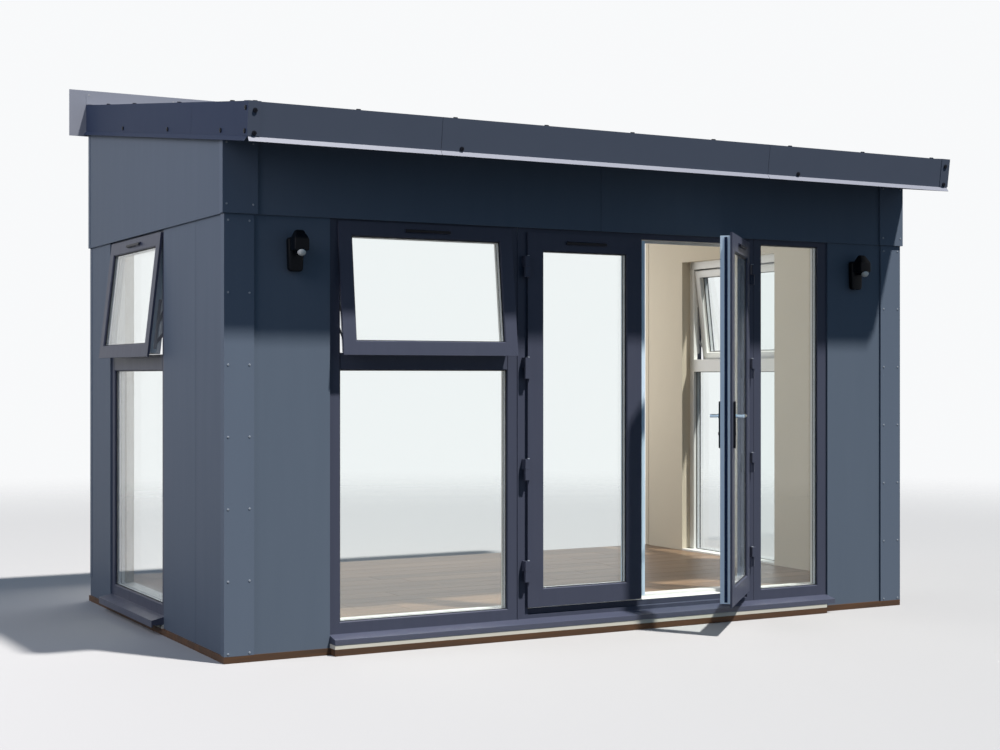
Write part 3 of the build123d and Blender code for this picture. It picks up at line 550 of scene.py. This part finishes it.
# %% Primitives and rounded edges
def cube(size, place=(0, 0, 0)):
    """A cube primitive of a size, its scale applied."""
    bpy.ops.object.select_all(action="DESELECT")
    bpy.ops.mesh.primitive_cube_add(size=1, location=place)
    piece = bpy.context.object
    piece.scale = size
    bpy.ops.object.transform_apply(location=False, rotation=False, scale=True)
    return piece


def cylinder(sides, radius, tall, place=(0, 0, 0)):
    """A standing cylinder primitive."""
    bpy.ops.object.select_all(action="DESELECT")
    bpy.ops.mesh.primitive_cylinder_add(vertices=sides, radius=radius, depth=tall, location=place)
    return bpy.context.object


def ball(radius, place=(0, 0, 0)):
    """A sphere primitive."""
    bpy.ops.object.select_all(action="DESELECT")
    bpy.ops.mesh.primitive_uv_sphere_add(segments=32, ring_count=16, radius=radius, location=place)
    return bpy.context.object


def rounded(piece, width, segments=2, angle=40):
    """Rounds the edges with a bevel modifier and applies it."""
    only(piece)
    bevel = piece.modifiers.new("edges", "BEVEL")
    bevel.width = width
    bevel.segments = segments
    bevel.limit_method = "ANGLE"
    bevel.angle_limit = math.radians(angle)
    bpy.ops.object.modifier_apply(modifier=bevel.name)
    return piece


# %% [markdown]
# What repeats is modelled once and copied, each copy with its own mesh. At the end the pieces of one kind
# are joined, and their place goes into the mesh, so that the finish lies still on them when a door turns.
# Then the joined piece rides on a body of the assembly.

# %% Copying and finishing
def copied(piece, place):
    """A copy with its own mesh, moved by a matrix."""
    twin = piece.copy()
    twin.data = piece.data.copy()
    scene.collection.objects.link(twin)
    twin.matrix_world = place @ piece.matrix_world
    return twin


SMOOTH_UNDER = 35


def finished(pieces, name, finish, body):
    """Joins the pieces into one, at the origin, and puts it in the assembly."""
    only(*pieces)
    if len(pieces) > 1:
        bpy.ops.object.join()
    piece = bpy.context.view_layer.objects.active
    bpy.ops.object.transform_apply(location=True, rotation=True, scale=True)
    piece.name = piece.data.name = name
    piece.data.materials.clear()
    piece.data.materials.append(finish)
    bpy.ops.object.shade_smooth_by_angle(angle=math.radians(SMOOTH_UNDER))
    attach(piece, body)
    print(name, len(piece.data.polygons), "faces")
    return piece


# %% [markdown]
# Most pieces sit on a unit that could look any way: a window in the front or in a side wall, the roof, or
# the open leaf. It is easiest to place them in the unit's own terms, and to turn them with the unit's
# matrix. A window's own terms are x from its middle, y inwards from the wall's face and z up.

# %% Places of the windows
def shift(x, y, z):
    """A move."""
    return Matrix.Translation((x, y, z))


def turn(degrees, axis):
    """A turn about an axis through the origin."""
    return Matrix.Rotation(math.radians(degrees), 4, axis)


window_low, window_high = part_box("front_window_frame")
side_low, side_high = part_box("left_window_frame")
side_middle = (side_low[1] + side_high[1]) / 2
front_place = shift(0, FRONT, 0)
window_places = (
    shift((window_low[0] + window_high[0]) / 2, FRONT, 0),
    shift(-SIDE, side_middle, 0) @ turn(-90, "Z"),
    shift(SIDE, side_middle, 0) @ turn(90, "Z"),
)
print("side windows' middle at y", round(side_middle, 3))

# %% [markdown]
# Sashes and the open leaf turn about their hinges: move the hinge to the origin, turn, and move it back.
# The roof has a place as well, at its front edge, with z square to its slope.

# %% Places of sashes, leaf and roof
FRAME_FACE, SASH_FACE, SASH_OVERLAP = 0.062, 0.075, 0.018
TRANSOM_LOW, TRANSOM_HIGH = 1.461, 1.550
FRAME_LOW, FRAME_HIGH = 0.100, 2.272
SASH_TOP = FRAME_HIGH - FRAME_FACE + SASH_OVERLAP
LEFT_HINGE_X, RIGHT_HINGE_X, HINGE_Y = -0.473, 1.045, -0.009
SASH_HINGE_IN = 0.0197
ROOF_AHEAD, ROOF_HIGH, PITCH = 0.410, 2.731, 7.9


def turned_at(hinge, degrees, axis):
    """A turn about an axis through a hinge."""
    return shift(*hinge) @ turn(degrees, axis) @ shift(*-hinge)


sash_swing = turned_at(Vector((0, SASH_HINGE_IN, SASH_TOP)), -SASH_AJAR, "X")
open_leaf = turned_at(Vector((RIGHT_HINGE_X, FRONT + HINGE_Y, 0)), LEAF_OPEN, "Z") @ front_place
roof_place = shift(0, FRONT - ROOF_AHEAD, ROOF_HIGH) @ turn(PITCH, "X")
print("sashes hang from", round(SASH_TOP, 3), "m")

# %% [markdown]
# ## Seals and spacers
# Each pane is held between two black rubber seals, and a silver spacer keeps the two panes apart. From
# outside they draw a thin black line and a light one round the glass. One ring is enough for all of them: a
# plane is inset, its middle is deleted, and what is left is extruded.

# %% A ring
def ring(wide, tall, thick, deep):
    """A flat ring in the xz plane that is deep along y, from y = 0 inwards."""
    bpy.ops.object.select_all(action="DESELECT")
    bpy.ops.mesh.primitive_plane_add(size=1, rotation=(math.radians(90), 0, 0))
    piece = bpy.context.object
    piece.scale = (wide, tall, 1)
    bpy.ops.object.transform_apply(location=False, rotation=True, scale=True)
    pick(piece, lambda face: True)
    bpy.ops.mesh.inset(thickness=thick)
    bpy.ops.mesh.delete(type="FACE")
    bpy.ops.mesh.select_all(action="SELECT")
    bpy.ops.mesh.extrude_region_move(TRANSFORM_OT_translate={"value": (0, deep, 0)})
    bpy.ops.mesh.select_all(action="SELECT")
    bpy.ops.mesh.normals_make_consistent(inside=False)
    leave()
    return piece


# %% [markdown]
# One light takes three rings. A seal bites a little into its pane, so that nothing shows between the two,
# and each ring keeps a hair's breadth from what lies beside it. The spacer reaches behind the bars, as the
# panes do.

# %% Rings around one light
GLASS_IN, POCKET, PANE = 0.015, 0.030, 0.0043
SEAL_FACE, SEAL_DEEP, SEAL_BITE = 0.004, 0.003, 0.0003
SPACER_FACE, SPACER_BEHIND = 0.013, 0.010
APART = 0.0002


def glazing_rings(low, high, face_y, place):
    """The two seals and the spacer of one light, as (seals, spacer); low and high are (x, z) corners."""
    wide, tall = high[0] - low[0], high[1] - low[1]
    centre = place @ shift((low[0] + high[0]) / 2, face_y, (low[1] + high[1]) / 2)
    seals = []
    for depth in (GLASS_IN - SEAL_DEEP + SEAL_BITE, GLASS_IN + POCKET - SEAL_BITE):
        seal = ring(wide - 2 * APART, tall - 2 * APART, SEAL_FACE, SEAL_DEEP)
        seal.matrix_world = centre @ shift(0, depth, 0)
        seals.append(seal)
    between_panes = POCKET - 2 * PANE - 2 * APART
    spacer = ring(wide + 2 * SPACER_BEHIND, tall + 2 * SPACER_BEHIND, SPACER_FACE, between_panes)
    spacer.matrix_world = centre @ shift(0, GLASS_IN + PANE + APART, 0)
    return seals, spacer


# %% [markdown]
# There are nine lights: a fixed one and a sash in each of three windows, one beside the doors and one in
# each leaf. Each row gives two corners of the visible glass, how far back the face of its bars lies, and
# its place.

# %% The lights
PANE_LOW = FRAME_LOW + FRAME_FACE
SASH_IN, LEAF_IN = 0.0067, 0.003
SASH_PANE_LOW, SASH_PANE_HIGH = TRANSOM_HIGH - SASH_OVERLAP + SASH_FACE, SASH_TOP - SASH_FACE
LEAF_FACE, GLASS_BEHIND = 0.100, 0.015
LEFT_LEAF, RIGHT_LEAF = (-0.467, 0.275), (0.297, 1.039)
LEAF_LOW, LEAF_HIGH = 0.163, 2.216
half_light = (window_high[0] - window_low[0]) / 2 - FRAME_FACE
half_sash = half_light + SASH_OVERLAP - SASH_FACE
lights = {"room": [], "left_door": [], "right_door": []}
for place in window_places:
    lights["room"].append(((-half_light, PANE_LOW), (half_light, TRANSOM_LOW), FRAME_IN, place))
    lights["room"].append(((-half_sash, SASH_PANE_LOW), (half_sash, SASH_PANE_HIGH), SASH_IN,
                           place @ sash_swing))
beside_low, beside_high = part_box("sidelight_glass")
lights["room"].append(((beside_low[0] + GLASS_BEHIND, PANE_LOW),
                       (beside_high[0] - GLASS_BEHIND, FRAME_HIGH - FRAME_FACE), FRAME_IN, front_place))
for body, leaf, place in (("left_door", LEFT_LEAF, front_place), ("right_door", RIGHT_LEAF, open_leaf)):
    lights[body].append(((leaf[0] + LEAF_FACE, LEAF_LOW + LEAF_FACE),
                         (leaf[1] - LEAF_FACE, LEAF_HIGH - LEAF_FACE), LEAF_IN, place))
print(sum(len(rows) for rows in lights.values()), "lights")

# %% Seals and spacers of each body
for body, rows in lights.items():
    seals, spacers = [], []
    for row in rows:
        pair, spacer = glazing_rings(*row)
        seals += pair
        spacers.append(spacer)
    finished(seals, f"glass_seals_{body}", rubber, body)
    finished(spacers, f"glass_spacers_{body}", spacer_silver, body)

# %% [markdown]
# A sash is as deep as its frame, and the solid stops at the back of its glazing. What is missing is the rim
# that holds the glazing from inside. It is one more ring, wider and deeper, with its edges rounded.

# %% Inner rims of the sashes
RIM_LOW, RIM_HIGH = 1.554, 2.206
RIM_BESIDE, RIM_FACE, RIM_DEEP, RIM_IN = 0.0042, 0.050, 0.0225, 0.0650
rim_wide, rim_middle = 2 * (half_light - RIM_BESIDE), (RIM_LOW + RIM_HIGH) / 2
rims = []
for place in window_places:
    rim = rounded(ring(rim_wide, RIM_HIGH - RIM_LOW, RIM_FACE, RIM_DEEP), 0.004, 3)
    rim.matrix_world = place @ sash_swing @ shift(0, RIM_IN, rim_middle)
    rims.append(rim)
finished(rims, "sash_rims", white_plastic, "room")

# %% [markdown]
# ## Screws
# The folded trims are held by pan-head screws, which show as small dots in straight columns. One screw is
# modelled: a short cylinder whose rim is bevelled and whose middle is pushed in for the driver.

# %% One screw
SCREW_RADIUS, SCREW_TALL, SCREW_MIDDLE, SCREW_ROUND = 0.0055, 0.003, 0.0012, 0.0012
DRIVER_RIM, DRIVER_DEEP, MIDDLE_AREA = 0.0025, 0.0012, 2e-5
screw = cylinder(12, SCREW_RADIUS, SCREW_TALL, (0, 0, SCREW_MIDDLE))
bpy.ops.object.transform_apply(location=True)
pick(screw, upward)
bpy.ops.mesh.bevel(offset=SCREW_ROUND, segments=2, affect="EDGES")
leave()
pick(screw, lambda face: upward(face) and face.calc_area() > MIDDLE_AREA)
bpy.ops.mesh.inset(thickness=DRIVER_RIM)
bpy.ops.mesh.extrude_region_move(TRANSFORM_OT_translate={"value": (0, 0, -DRIVER_DEEP)})
leave()
facing_front = turn(90, "X")
facing_left, facing_right = turn(-90, "Y"), turn(90, "Y")
print("a screw has", len(screw.data.polygons), "faces")

# %% [markdown]
# Each corner cover has two columns of screws. The cover over the upper panels stands further out and is
# wider, so its columns lie a little apart from the lower ones.

# %% Screws of the corner covers
LOWER_ROWS = [0.047 + 0.3597 * row for row in range(7)]
UPPER_ROWS = (2.285, 2.590)
LOWER_COLUMNS, UPPER_COLUMNS = (0.021, 0.133), (0.021, 0.160)
places = []
for side in (-1, 1):
    for inwards in LOWER_COLUMNS:
        places += [shift(side * (SIDE - inwards), FRONT, z) @ facing_front for z in LOWER_ROWS]
    for inwards in UPPER_COLUMNS:
        upper_x = side * (SIDE + COVER_PROUD - inwards)
        places += [shift(upper_x, FRONT - COVER_PROUD, z) @ facing_front for z in UPPER_ROWS]
# The corner screws are pale: painted light for their sunlit heads.
finished([copied(screw, place) for place in places], "corner_screws", screw_painted_highlight, "room")

# %% [markdown]
# The screws of the roof edge are darker and have larger caps, 24 mm wide. They go through the flange on the
# roof, through the joints of the front fascia, along the side fascias and twice through each face of a
# corner cap.

# %% Screws of the roof edge
CAP = Matrix.Scale(2.2, 4)
ROOF_SIDE = SIDE + 0.016
ON_SHEET, ON_FACE, ON_CAP = 0.002, 0.0022, 0.0043
FRONT_START, FRONT_STEP, FRONT_JOINTS = -2.174, 0.535, (-1.076, 1.081)
FRONT_BACK, FRONT_DROP = 0.035, 0.150
SIDE_FLANGE, SIDE_FACE = (0.27, 1.13, 1.99, 2.56), (0.39, 1.28, 2.17)
SIDE_BACK, SIDE_DROP = 0.010, 0.140
CAP_IN, CAP_FRONT_DROPS, CAP_SIDE_DROPS = 0.030, (0.040, 0.148), (0.030, 0.140)


def on_roof(x, y, z):
    """A place in the roof's own terms: x from the middle, y up its slope and z square to it."""
    return roof_place @ shift(x, y, z)


places = [on_roof(FRONT_START + FRONT_STEP * step, FRONT_BACK, ON_SHEET) for step in range(9)]
places += [on_roof(x, -ON_FACE, -FRONT_DROP) @ facing_front for x in FRONT_JOINTS]
for side, facing_out in ((-1, facing_left), (1, facing_right)):
    cap_x, face_x = side * (ROOF_SIDE - CAP_IN), side * (ROOF_SIDE + ON_CAP)
    places += [on_roof(side * (ROOF_SIDE - SIDE_BACK), y, ON_SHEET) for y in SIDE_FLANGE]
    places += [on_roof(side * (ROOF_SIDE + ON_FACE), y, -SIDE_DROP) @ facing_out for y in SIDE_FACE]
    places += [on_roof(cap_x, -ON_CAP, -drop) @ facing_front for drop in CAP_FRONT_DROPS]
    places += [on_roof(face_x, CAP_IN, -drop) @ facing_out for drop in CAP_SIDE_DROPS]
finished([copied(screw, place @ CAP) for place in places], "fascia_screws", screw_dark, "room")

# %% [markdown]
# The flashing is screwed through its upper strip, in one row from end to end. These screws are bare steel.

# %% Screws of the flashing
FLASHING_STEP, FLASHING_THICK, BELOW_EDGE = 0.55, 0.003, 0.03
flashing_back, flashing_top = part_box("abutment_flashing")[1][1:]
strip_y, row_z = flashing_back - FLASHING_THICK, flashing_top - BELOW_EDGE
places = [shift(-SIDE + FLASHING_STEP * step, strip_y, row_z) @ facing_front for step in range(9)]
finished([copied(screw, place) for place in places], "flashing_screws", steel, "room")
bpy.data.objects.remove(screw)

# %% [markdown]
# ## Floor boards
# The solid floor is one sheet, and the real one is boards: 180 mm wide, laid along the front, with a fine
# bevel on each edge and staggered ends. Each board carries a number of its own for its finish to read.

# %% One board
floor_low, floor_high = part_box("floor_boards")
BOARD_WIDE, BOARD_JOINT, BOARD_BEVEL = 0.180, 0.0006, 0.0014
random.seed(7)


def floor_plank(x, y):
    """One board with bevelled edges between two pairs of limits, and its number."""
    plank = cube((x[1] - x[0] - BOARD_JOINT, y[1] - y[0] - BOARD_JOINT, floor_high[2] - floor_low[2]),
                 ((x[0] + x[1]) / 2, (y[0] + y[1]) / 2, (floor_low[2] + floor_high[2]) / 2))
    pick(plank, upward)
    bpy.ops.mesh.bevel(offset=BOARD_BEVEL, segments=1, affect="EDGES")
    leave()
    number = plank.data.attributes.new("board", "FLOAT", "POINT")
    number.data.foreach_set("value", [random.random()] * len(plank.data.vertices))
    return plank


# %% [markdown]
# One board lies in the doorway and in each window bay. The rest run from wall to wall in rows: the first of
# a row has any length, so that the ends are staggered, and a last piece that would be too short is left
# joined to the one before.

# %% All the boards
WALL, HALF_JOINT = 0.160, 0.0003
FIRST_LENGTHS, OTHER_LENGTHS = (0.5, 1.7), (1.3, 2.1)
SHORTEST_END, NARROWEST_ROW = 0.25, 0.02
inside = SIDE - WALL
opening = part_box("front_sill")[1][0] - HALF_JOINT
planks = [floor_plank((-opening, opening), (floor_low[1], FRONT + WALL))]
for x in ((floor_low[0], -inside), (inside, floor_high[0])):
    planks.append(floor_plank(x, (side_low[1] + HALF_JOINT, side_high[1] - HALF_JOINT)))
y = FRONT + WALL
while y < floor_high[1] - NARROWEST_ROW:
    next_y = min(y + BOARD_WIDE, floor_high[1])
    x = -inside
    while x < inside:
        end = x + random.uniform(*(FIRST_LENGTHS if x == -inside else OTHER_LENGTHS))
        if inside - end < SHORTEST_END:
            end = inside
        planks.append(floor_plank((x, end), (y, next_y)))
        x = end
    y = next_y
floor_planks = finished(planks, "floor_planks", oak, "room")
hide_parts("floor_boards")

# %% [markdown]
# Boards are cut from different logs. The number on each board moves the grain far away, so that no two
# boards look the same, and it darkens or lightens the board a little. The oak's nodes are there already, so
# this cell only puts a step between two of them, twice.

# %% Let each board move its grain
GRAIN_JUMP, DARKEST, LIGHTEST = 37.0, 0.78, 1.15
tree = oak.node_tree
mapping = next(found for found in tree.nodes if found.type == "MAPPING")
ramp = next(found for found in tree.nodes if found.type == "VALTORGB")
shader = next(found for found in tree.nodes if found.type == "BSDF_PRINCIPLED")
board = block(tree, "Attribute", attribute_name="board")
jump = block(tree, "Math", {1: GRAIN_JUMP}, operation="MULTIPLY")
moved = block(tree, "VectorMath", operation="ADD")
level = block(tree, "MapRange", {"To Min": DARKEST, "To Max": LIGHTEST})
tone = block(tree, "HueSaturation")
for link in list(mapping.outputs[0].links):
    wire(tree, (moved.outputs[0], link.to_socket))
wire(tree,
     (board.outputs["Fac"], jump.inputs[0]), (jump.outputs[0], moved.inputs[1]),
     (mapping.outputs[0], moved.inputs[0]), (board.outputs["Fac"], level.inputs["Value"]),
     (level.outputs["Result"], tone.inputs["Value"]), (ramp.outputs["Color"], tone.inputs["Color"]),
     (tone.outputs[0], shader.inputs["Base Color"]))
print(len(planks), "boards,", len(floor_planks.data.vertices), "points")

# %% [markdown]
# ## Ironmongery
# The levers of the solids are plain bars. The real ones are round to the touch: a neck with a collar, and a
# grip that narrows to its end, with soft edges. They turn with the levers' own body.

# %% Levers
BACKSET, LEVER_HIGH, LEAF_DEEP = 0.052, 1.210, 0.070
NECK, COLLAR = (0.0095, 0.0003, 0.060), (0.0125, 0.0112, 0.0170)
GRIP_SIZE, GRIP_END = (0.134, 0.0138, 0.0196), (1, 0.75, 0.82)
GRIP_ALONG, GRIP_OUT = 0.057, 0.054
SPINDLE_THICK, SPINDLE_LONG, SPINDLE_MIDDLE = 0.0078, 0.078, 0.038
spindle = Vector((RIGHT_LEAF[0] + BACKSET, 0, LEVER_HIGH))
leaf_sides = ((LEAF_IN, -1), (LEAF_IN + LEAF_DEEP, 1))
parts = []
for face_y, out in leaf_sides:
    for radius, near, far in (NECK, COLLAR):
        neck = rounded(cylinder(32, radius, far - near), 0.0015)
        on_spindle = open_leaf @ shift(spindle.x, face_y + out * (near + far) / 2, spindle.z)
        neck.matrix_world = on_spindle @ turn(90, "X")
        parts.append(neck)
    grip = cube(GRIP_SIZE)
    pick(grip, lambda face: face.normal.x > 0.9)
    bpy.ops.transform.resize(value=GRIP_END)
    leave()
    rounded(grip, 0.0055, 4)
    grip.matrix_world = open_leaf @ shift(spindle.x + GRIP_ALONG, face_y + out * GRIP_OUT, spindle.z)
    parts.append(grip)
spindle_bar = cube((SPINDLE_THICK, SPINDLE_LONG, SPINDLE_THICK))
spindle_bar.matrix_world = open_leaf @ shift(spindle.x, SPINDLE_MIDDLE, spindle.z)
parts.append(rounded(spindle_bar, 0.0006))
round_levers = finished(parts, "round_levers", chrome_painted_sky, "levers")
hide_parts("door_levers")

# %% [markdown]
# Under each lever a lock cylinder ends in a bright disc. It is a thin cylinder whose middle is pushed in,
# and it rides on the leaf, not on the levers.

# %% Lock cylinders
CYLINDER_DROP, CYLINDER_OUT = 0.098, 0.0147
DISC_RADIUS, DISC_THICK, DISC_RIM, DISC_HOLLOW = 0.0072, 0.0014, 0.0024, 0.0008
discs = []
for face_y, out in leaf_sides:
    disc = cylinder(28, DISC_RADIUS, DISC_THICK)
    pick(disc, upward)
    bpy.ops.mesh.inset(thickness=DISC_RIM)
    bpy.ops.mesh.extrude_region_move(TRANSFORM_OT_translate={"value": (0, 0, -DISC_HOLLOW)})
    leave()
    on_lock = open_leaf @ shift(spindle.x, face_y + out * CYLINDER_OUT, spindle.z - CYLINDER_DROP)
    disc.matrix_world = on_lock @ turn(-90 * out, "X")
    discs.append(disc)
finished(discs, "cylinder_faces", steel, "right_door")

# %% [markdown]
# The sashes stand ajar on friction stays: on each side, a track on the jamb, a plate on the sash and two
# arms between them. They are thin steel strips, so each is a flattened cube with its ends rounded, and an
# arm is turned to join its two rivets.

# %% One strip of a stay
STRIP_THICK, STRIP_WIDE, STRIP_END, PAST_RIVET = 0.0011, 0.017, 0.006, 0.007


def strip(x, start, end, place):
    """A thin steel strip between two (y, z) points."""
    along = Vector((0, end[0] - start[0], end[1] - start[1]))
    piece = cube((STRIP_THICK, STRIP_WIDE, along.length + 2 * PAST_RIVET))
    pick(piece, lambda edge: abs(edge.verts[0].co.x - edge.verts[1].co.x) > 0.001, "EDGE")
    bpy.ops.mesh.bevel(offset=STRIP_END, segments=4)
    leave()
    turned = along.to_track_quat("Z", "X").to_matrix().to_4x4()
    flat_side = turn(90, "Z") if abs((turned @ Vector((1, 0, 0))).x) < 0.5 else turn(0, "Z")
    middle = shift(x, (start[0] + end[0]) / 2, (start[1] + end[1]) / 2)
    piece.matrix_world = place @ middle @ turned @ flat_side
    return piece


# %% All the stays
TRACK_X, ARM_X, PLATE_X = 0.0007, 0.0020, 0.0033
TRACK_Y, TRACK_LOW, TRACK_HIGH = 0.050, 1.600, 1.930
PLATE_Y, PLATE_LOW, PLATE_HIGH = 0.052, 1.585, 1.850
ARM_RIVETS = ((1.610, 1.690), (1.720, 1.830))
strips = []
for place in window_places:
    for side in (-1, 1):
        track_x, arm_x, plate_x = (side * (half_light - inwards) for inwards in (TRACK_X, ARM_X, PLATE_X))
        strips.append(strip(track_x, (TRACK_Y, TRACK_LOW), (TRACK_Y, TRACK_HIGH), place))
        strips.append(strip(plate_x, (PLATE_Y, PLATE_LOW), (PLATE_Y, PLATE_HIGH), place @ sash_swing))
        for on_plate, on_track in ARM_RIVETS:
            rivet = sash_swing @ Vector((0, PLATE_Y, on_plate))
            strips.append(strip(arm_x, (rivet.y, rivet.z), (TRACK_Y, on_track), place))
finished(strips, "sash_stays", steel, "room")

# %% [markdown]
# Each door hinge has a cap on its pin, pale with a painted highlight of its sunlit top. The cap is a flat
# cylinder whose top is inset and lifted a little, which gives it a soft crown.

# %% Hinge caps
HINGE_SHARES = (0.064, 0.334, 0.604, 0.875)
PIN_Y, CAP_RADIUS, CAP_TALL = -0.013, 0.0062, 0.004
CAP_RIM, CAP_CROWN, CAP_UP = 0.0015, 0.001, 0.0015
caps = []
for hinge_x in (LEFT_HINGE_X, RIGHT_HINGE_X):
    for share in HINGE_SHARES:
        hinge_top = LEAF_HIGH - share * (LEAF_HIGH - LEAF_LOW)
        cap = cylinder(20, CAP_RADIUS, CAP_TALL)
        pick(cap, upward)
        bpy.ops.mesh.inset(thickness=CAP_RIM)
        bpy.ops.transform.translate(value=(0, 0, CAP_CROWN))
        leave()
        cap.matrix_world = front_place @ shift(hinge_x, PIN_Y, hinge_top + CAP_UP)
        caps.append(cap)
finished(caps, "hinge_caps", screw_painted_highlight, "room")

# %% [markdown]
# ## Wall lights
# The wall lights are black and rounded: a body on the wall, a hood that narrows upwards, and a ball on an
# arm with the movement sensor, whose pale lens looks down and outwards. The body and the hood start as
# cubes whose ends are made smaller, and the lens is a slice of a sphere that is slightly larger than the
# ball.

# %% Parts of one wall light
BODY_SIZE, BODY_MIDDLE, BODY_FOOT = (0.090, 0.047, 0.172), (0, -0.0235, 0.082), (0.86, 0.90, 1)
HOOD_SIZE, HOOD_MIDDLE = (0.079, 0.078, 0.060), (0.002, -0.0800, 0.128)
HOOD_RISE, HOOD_TOP = (0, 0.004, 0.046), (0.54, 0.22, 1)
ARM_SIZE, ARM_MIDDLE = (0.030, 0.070, 0.026), (0, -0.075, 0.096)
SENSOR, BALL_RADIUS, LENS_RADIUS = (0.004, -0.104, 0.093), 0.0225, 0.0232
LENS_CUT, LENS_CUT_FACING = (0, 0, -0.009), (0.30, 0.60, 0.74)


def lamp_body():
    """The body on the wall, narrower at its foot."""
    piece = cube(BODY_SIZE, BODY_MIDDLE)
    pick(piece, lambda face: face.normal.z < -0.9)
    bpy.ops.transform.resize(value=BODY_FOOT)
    leave()
    return rounded(piece, 0.016, 4)


def lamp_hood():
    """The hood, its top drawn up and in."""
    piece = cube(HOOD_SIZE, HOOD_MIDDLE)
    pick(piece, upward)
    bpy.ops.mesh.extrude_region_move(TRANSFORM_OT_translate={"value": HOOD_RISE})
    bpy.ops.transform.resize(value=HOOD_TOP)
    leave()
    return rounded(piece, 0.008, 4, 20)


def lamp_arm():
    """The short arm that carries the ball."""
    return rounded(cube(ARM_SIZE, ARM_MIDDLE), 0.006, 3)


def sensor_lens():
    """The part of a sphere that lies below and in front of a slanted cut."""
    piece = ball(LENS_RADIUS)
    pick(piece, lambda face: True)
    bpy.ops.mesh.bisect(plane_co=LENS_CUT, plane_no=LENS_CUT_FACING, clear_outer=True, use_fill=True)
    leave()
    return piece


# %% Both wall lights
SEAM_HIGH, BELOW_SEAM, PANEL_IN = 2.240, 0.278, 0.010
lamps, lenses = [], []
for name in ("left_wall_light", "right_wall_light"):
    low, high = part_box(name)
    on_wall = shift((low[0] + high[0]) / 2, FRONT + PANEL_IN, SEAM_HIGH - BELOW_SEAM)
    for piece in (lamp_body(), lamp_hood(), lamp_arm(), ball(BALL_RADIUS, SENSOR)):
        piece.matrix_world = on_wall @ piece.matrix_world
        lamps.append(piece)
    lens = sensor_lens()
    lens.matrix_world = on_wall @ shift(*SENSOR)
    lenses.append(lens)
wall_lamps = finished(lamps, "wall_lamps", lamp_black, "room")
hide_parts("left_wall_light", "right_wall_light")
finished(lenses, "sensor_lenses", sensor_grey, "room")
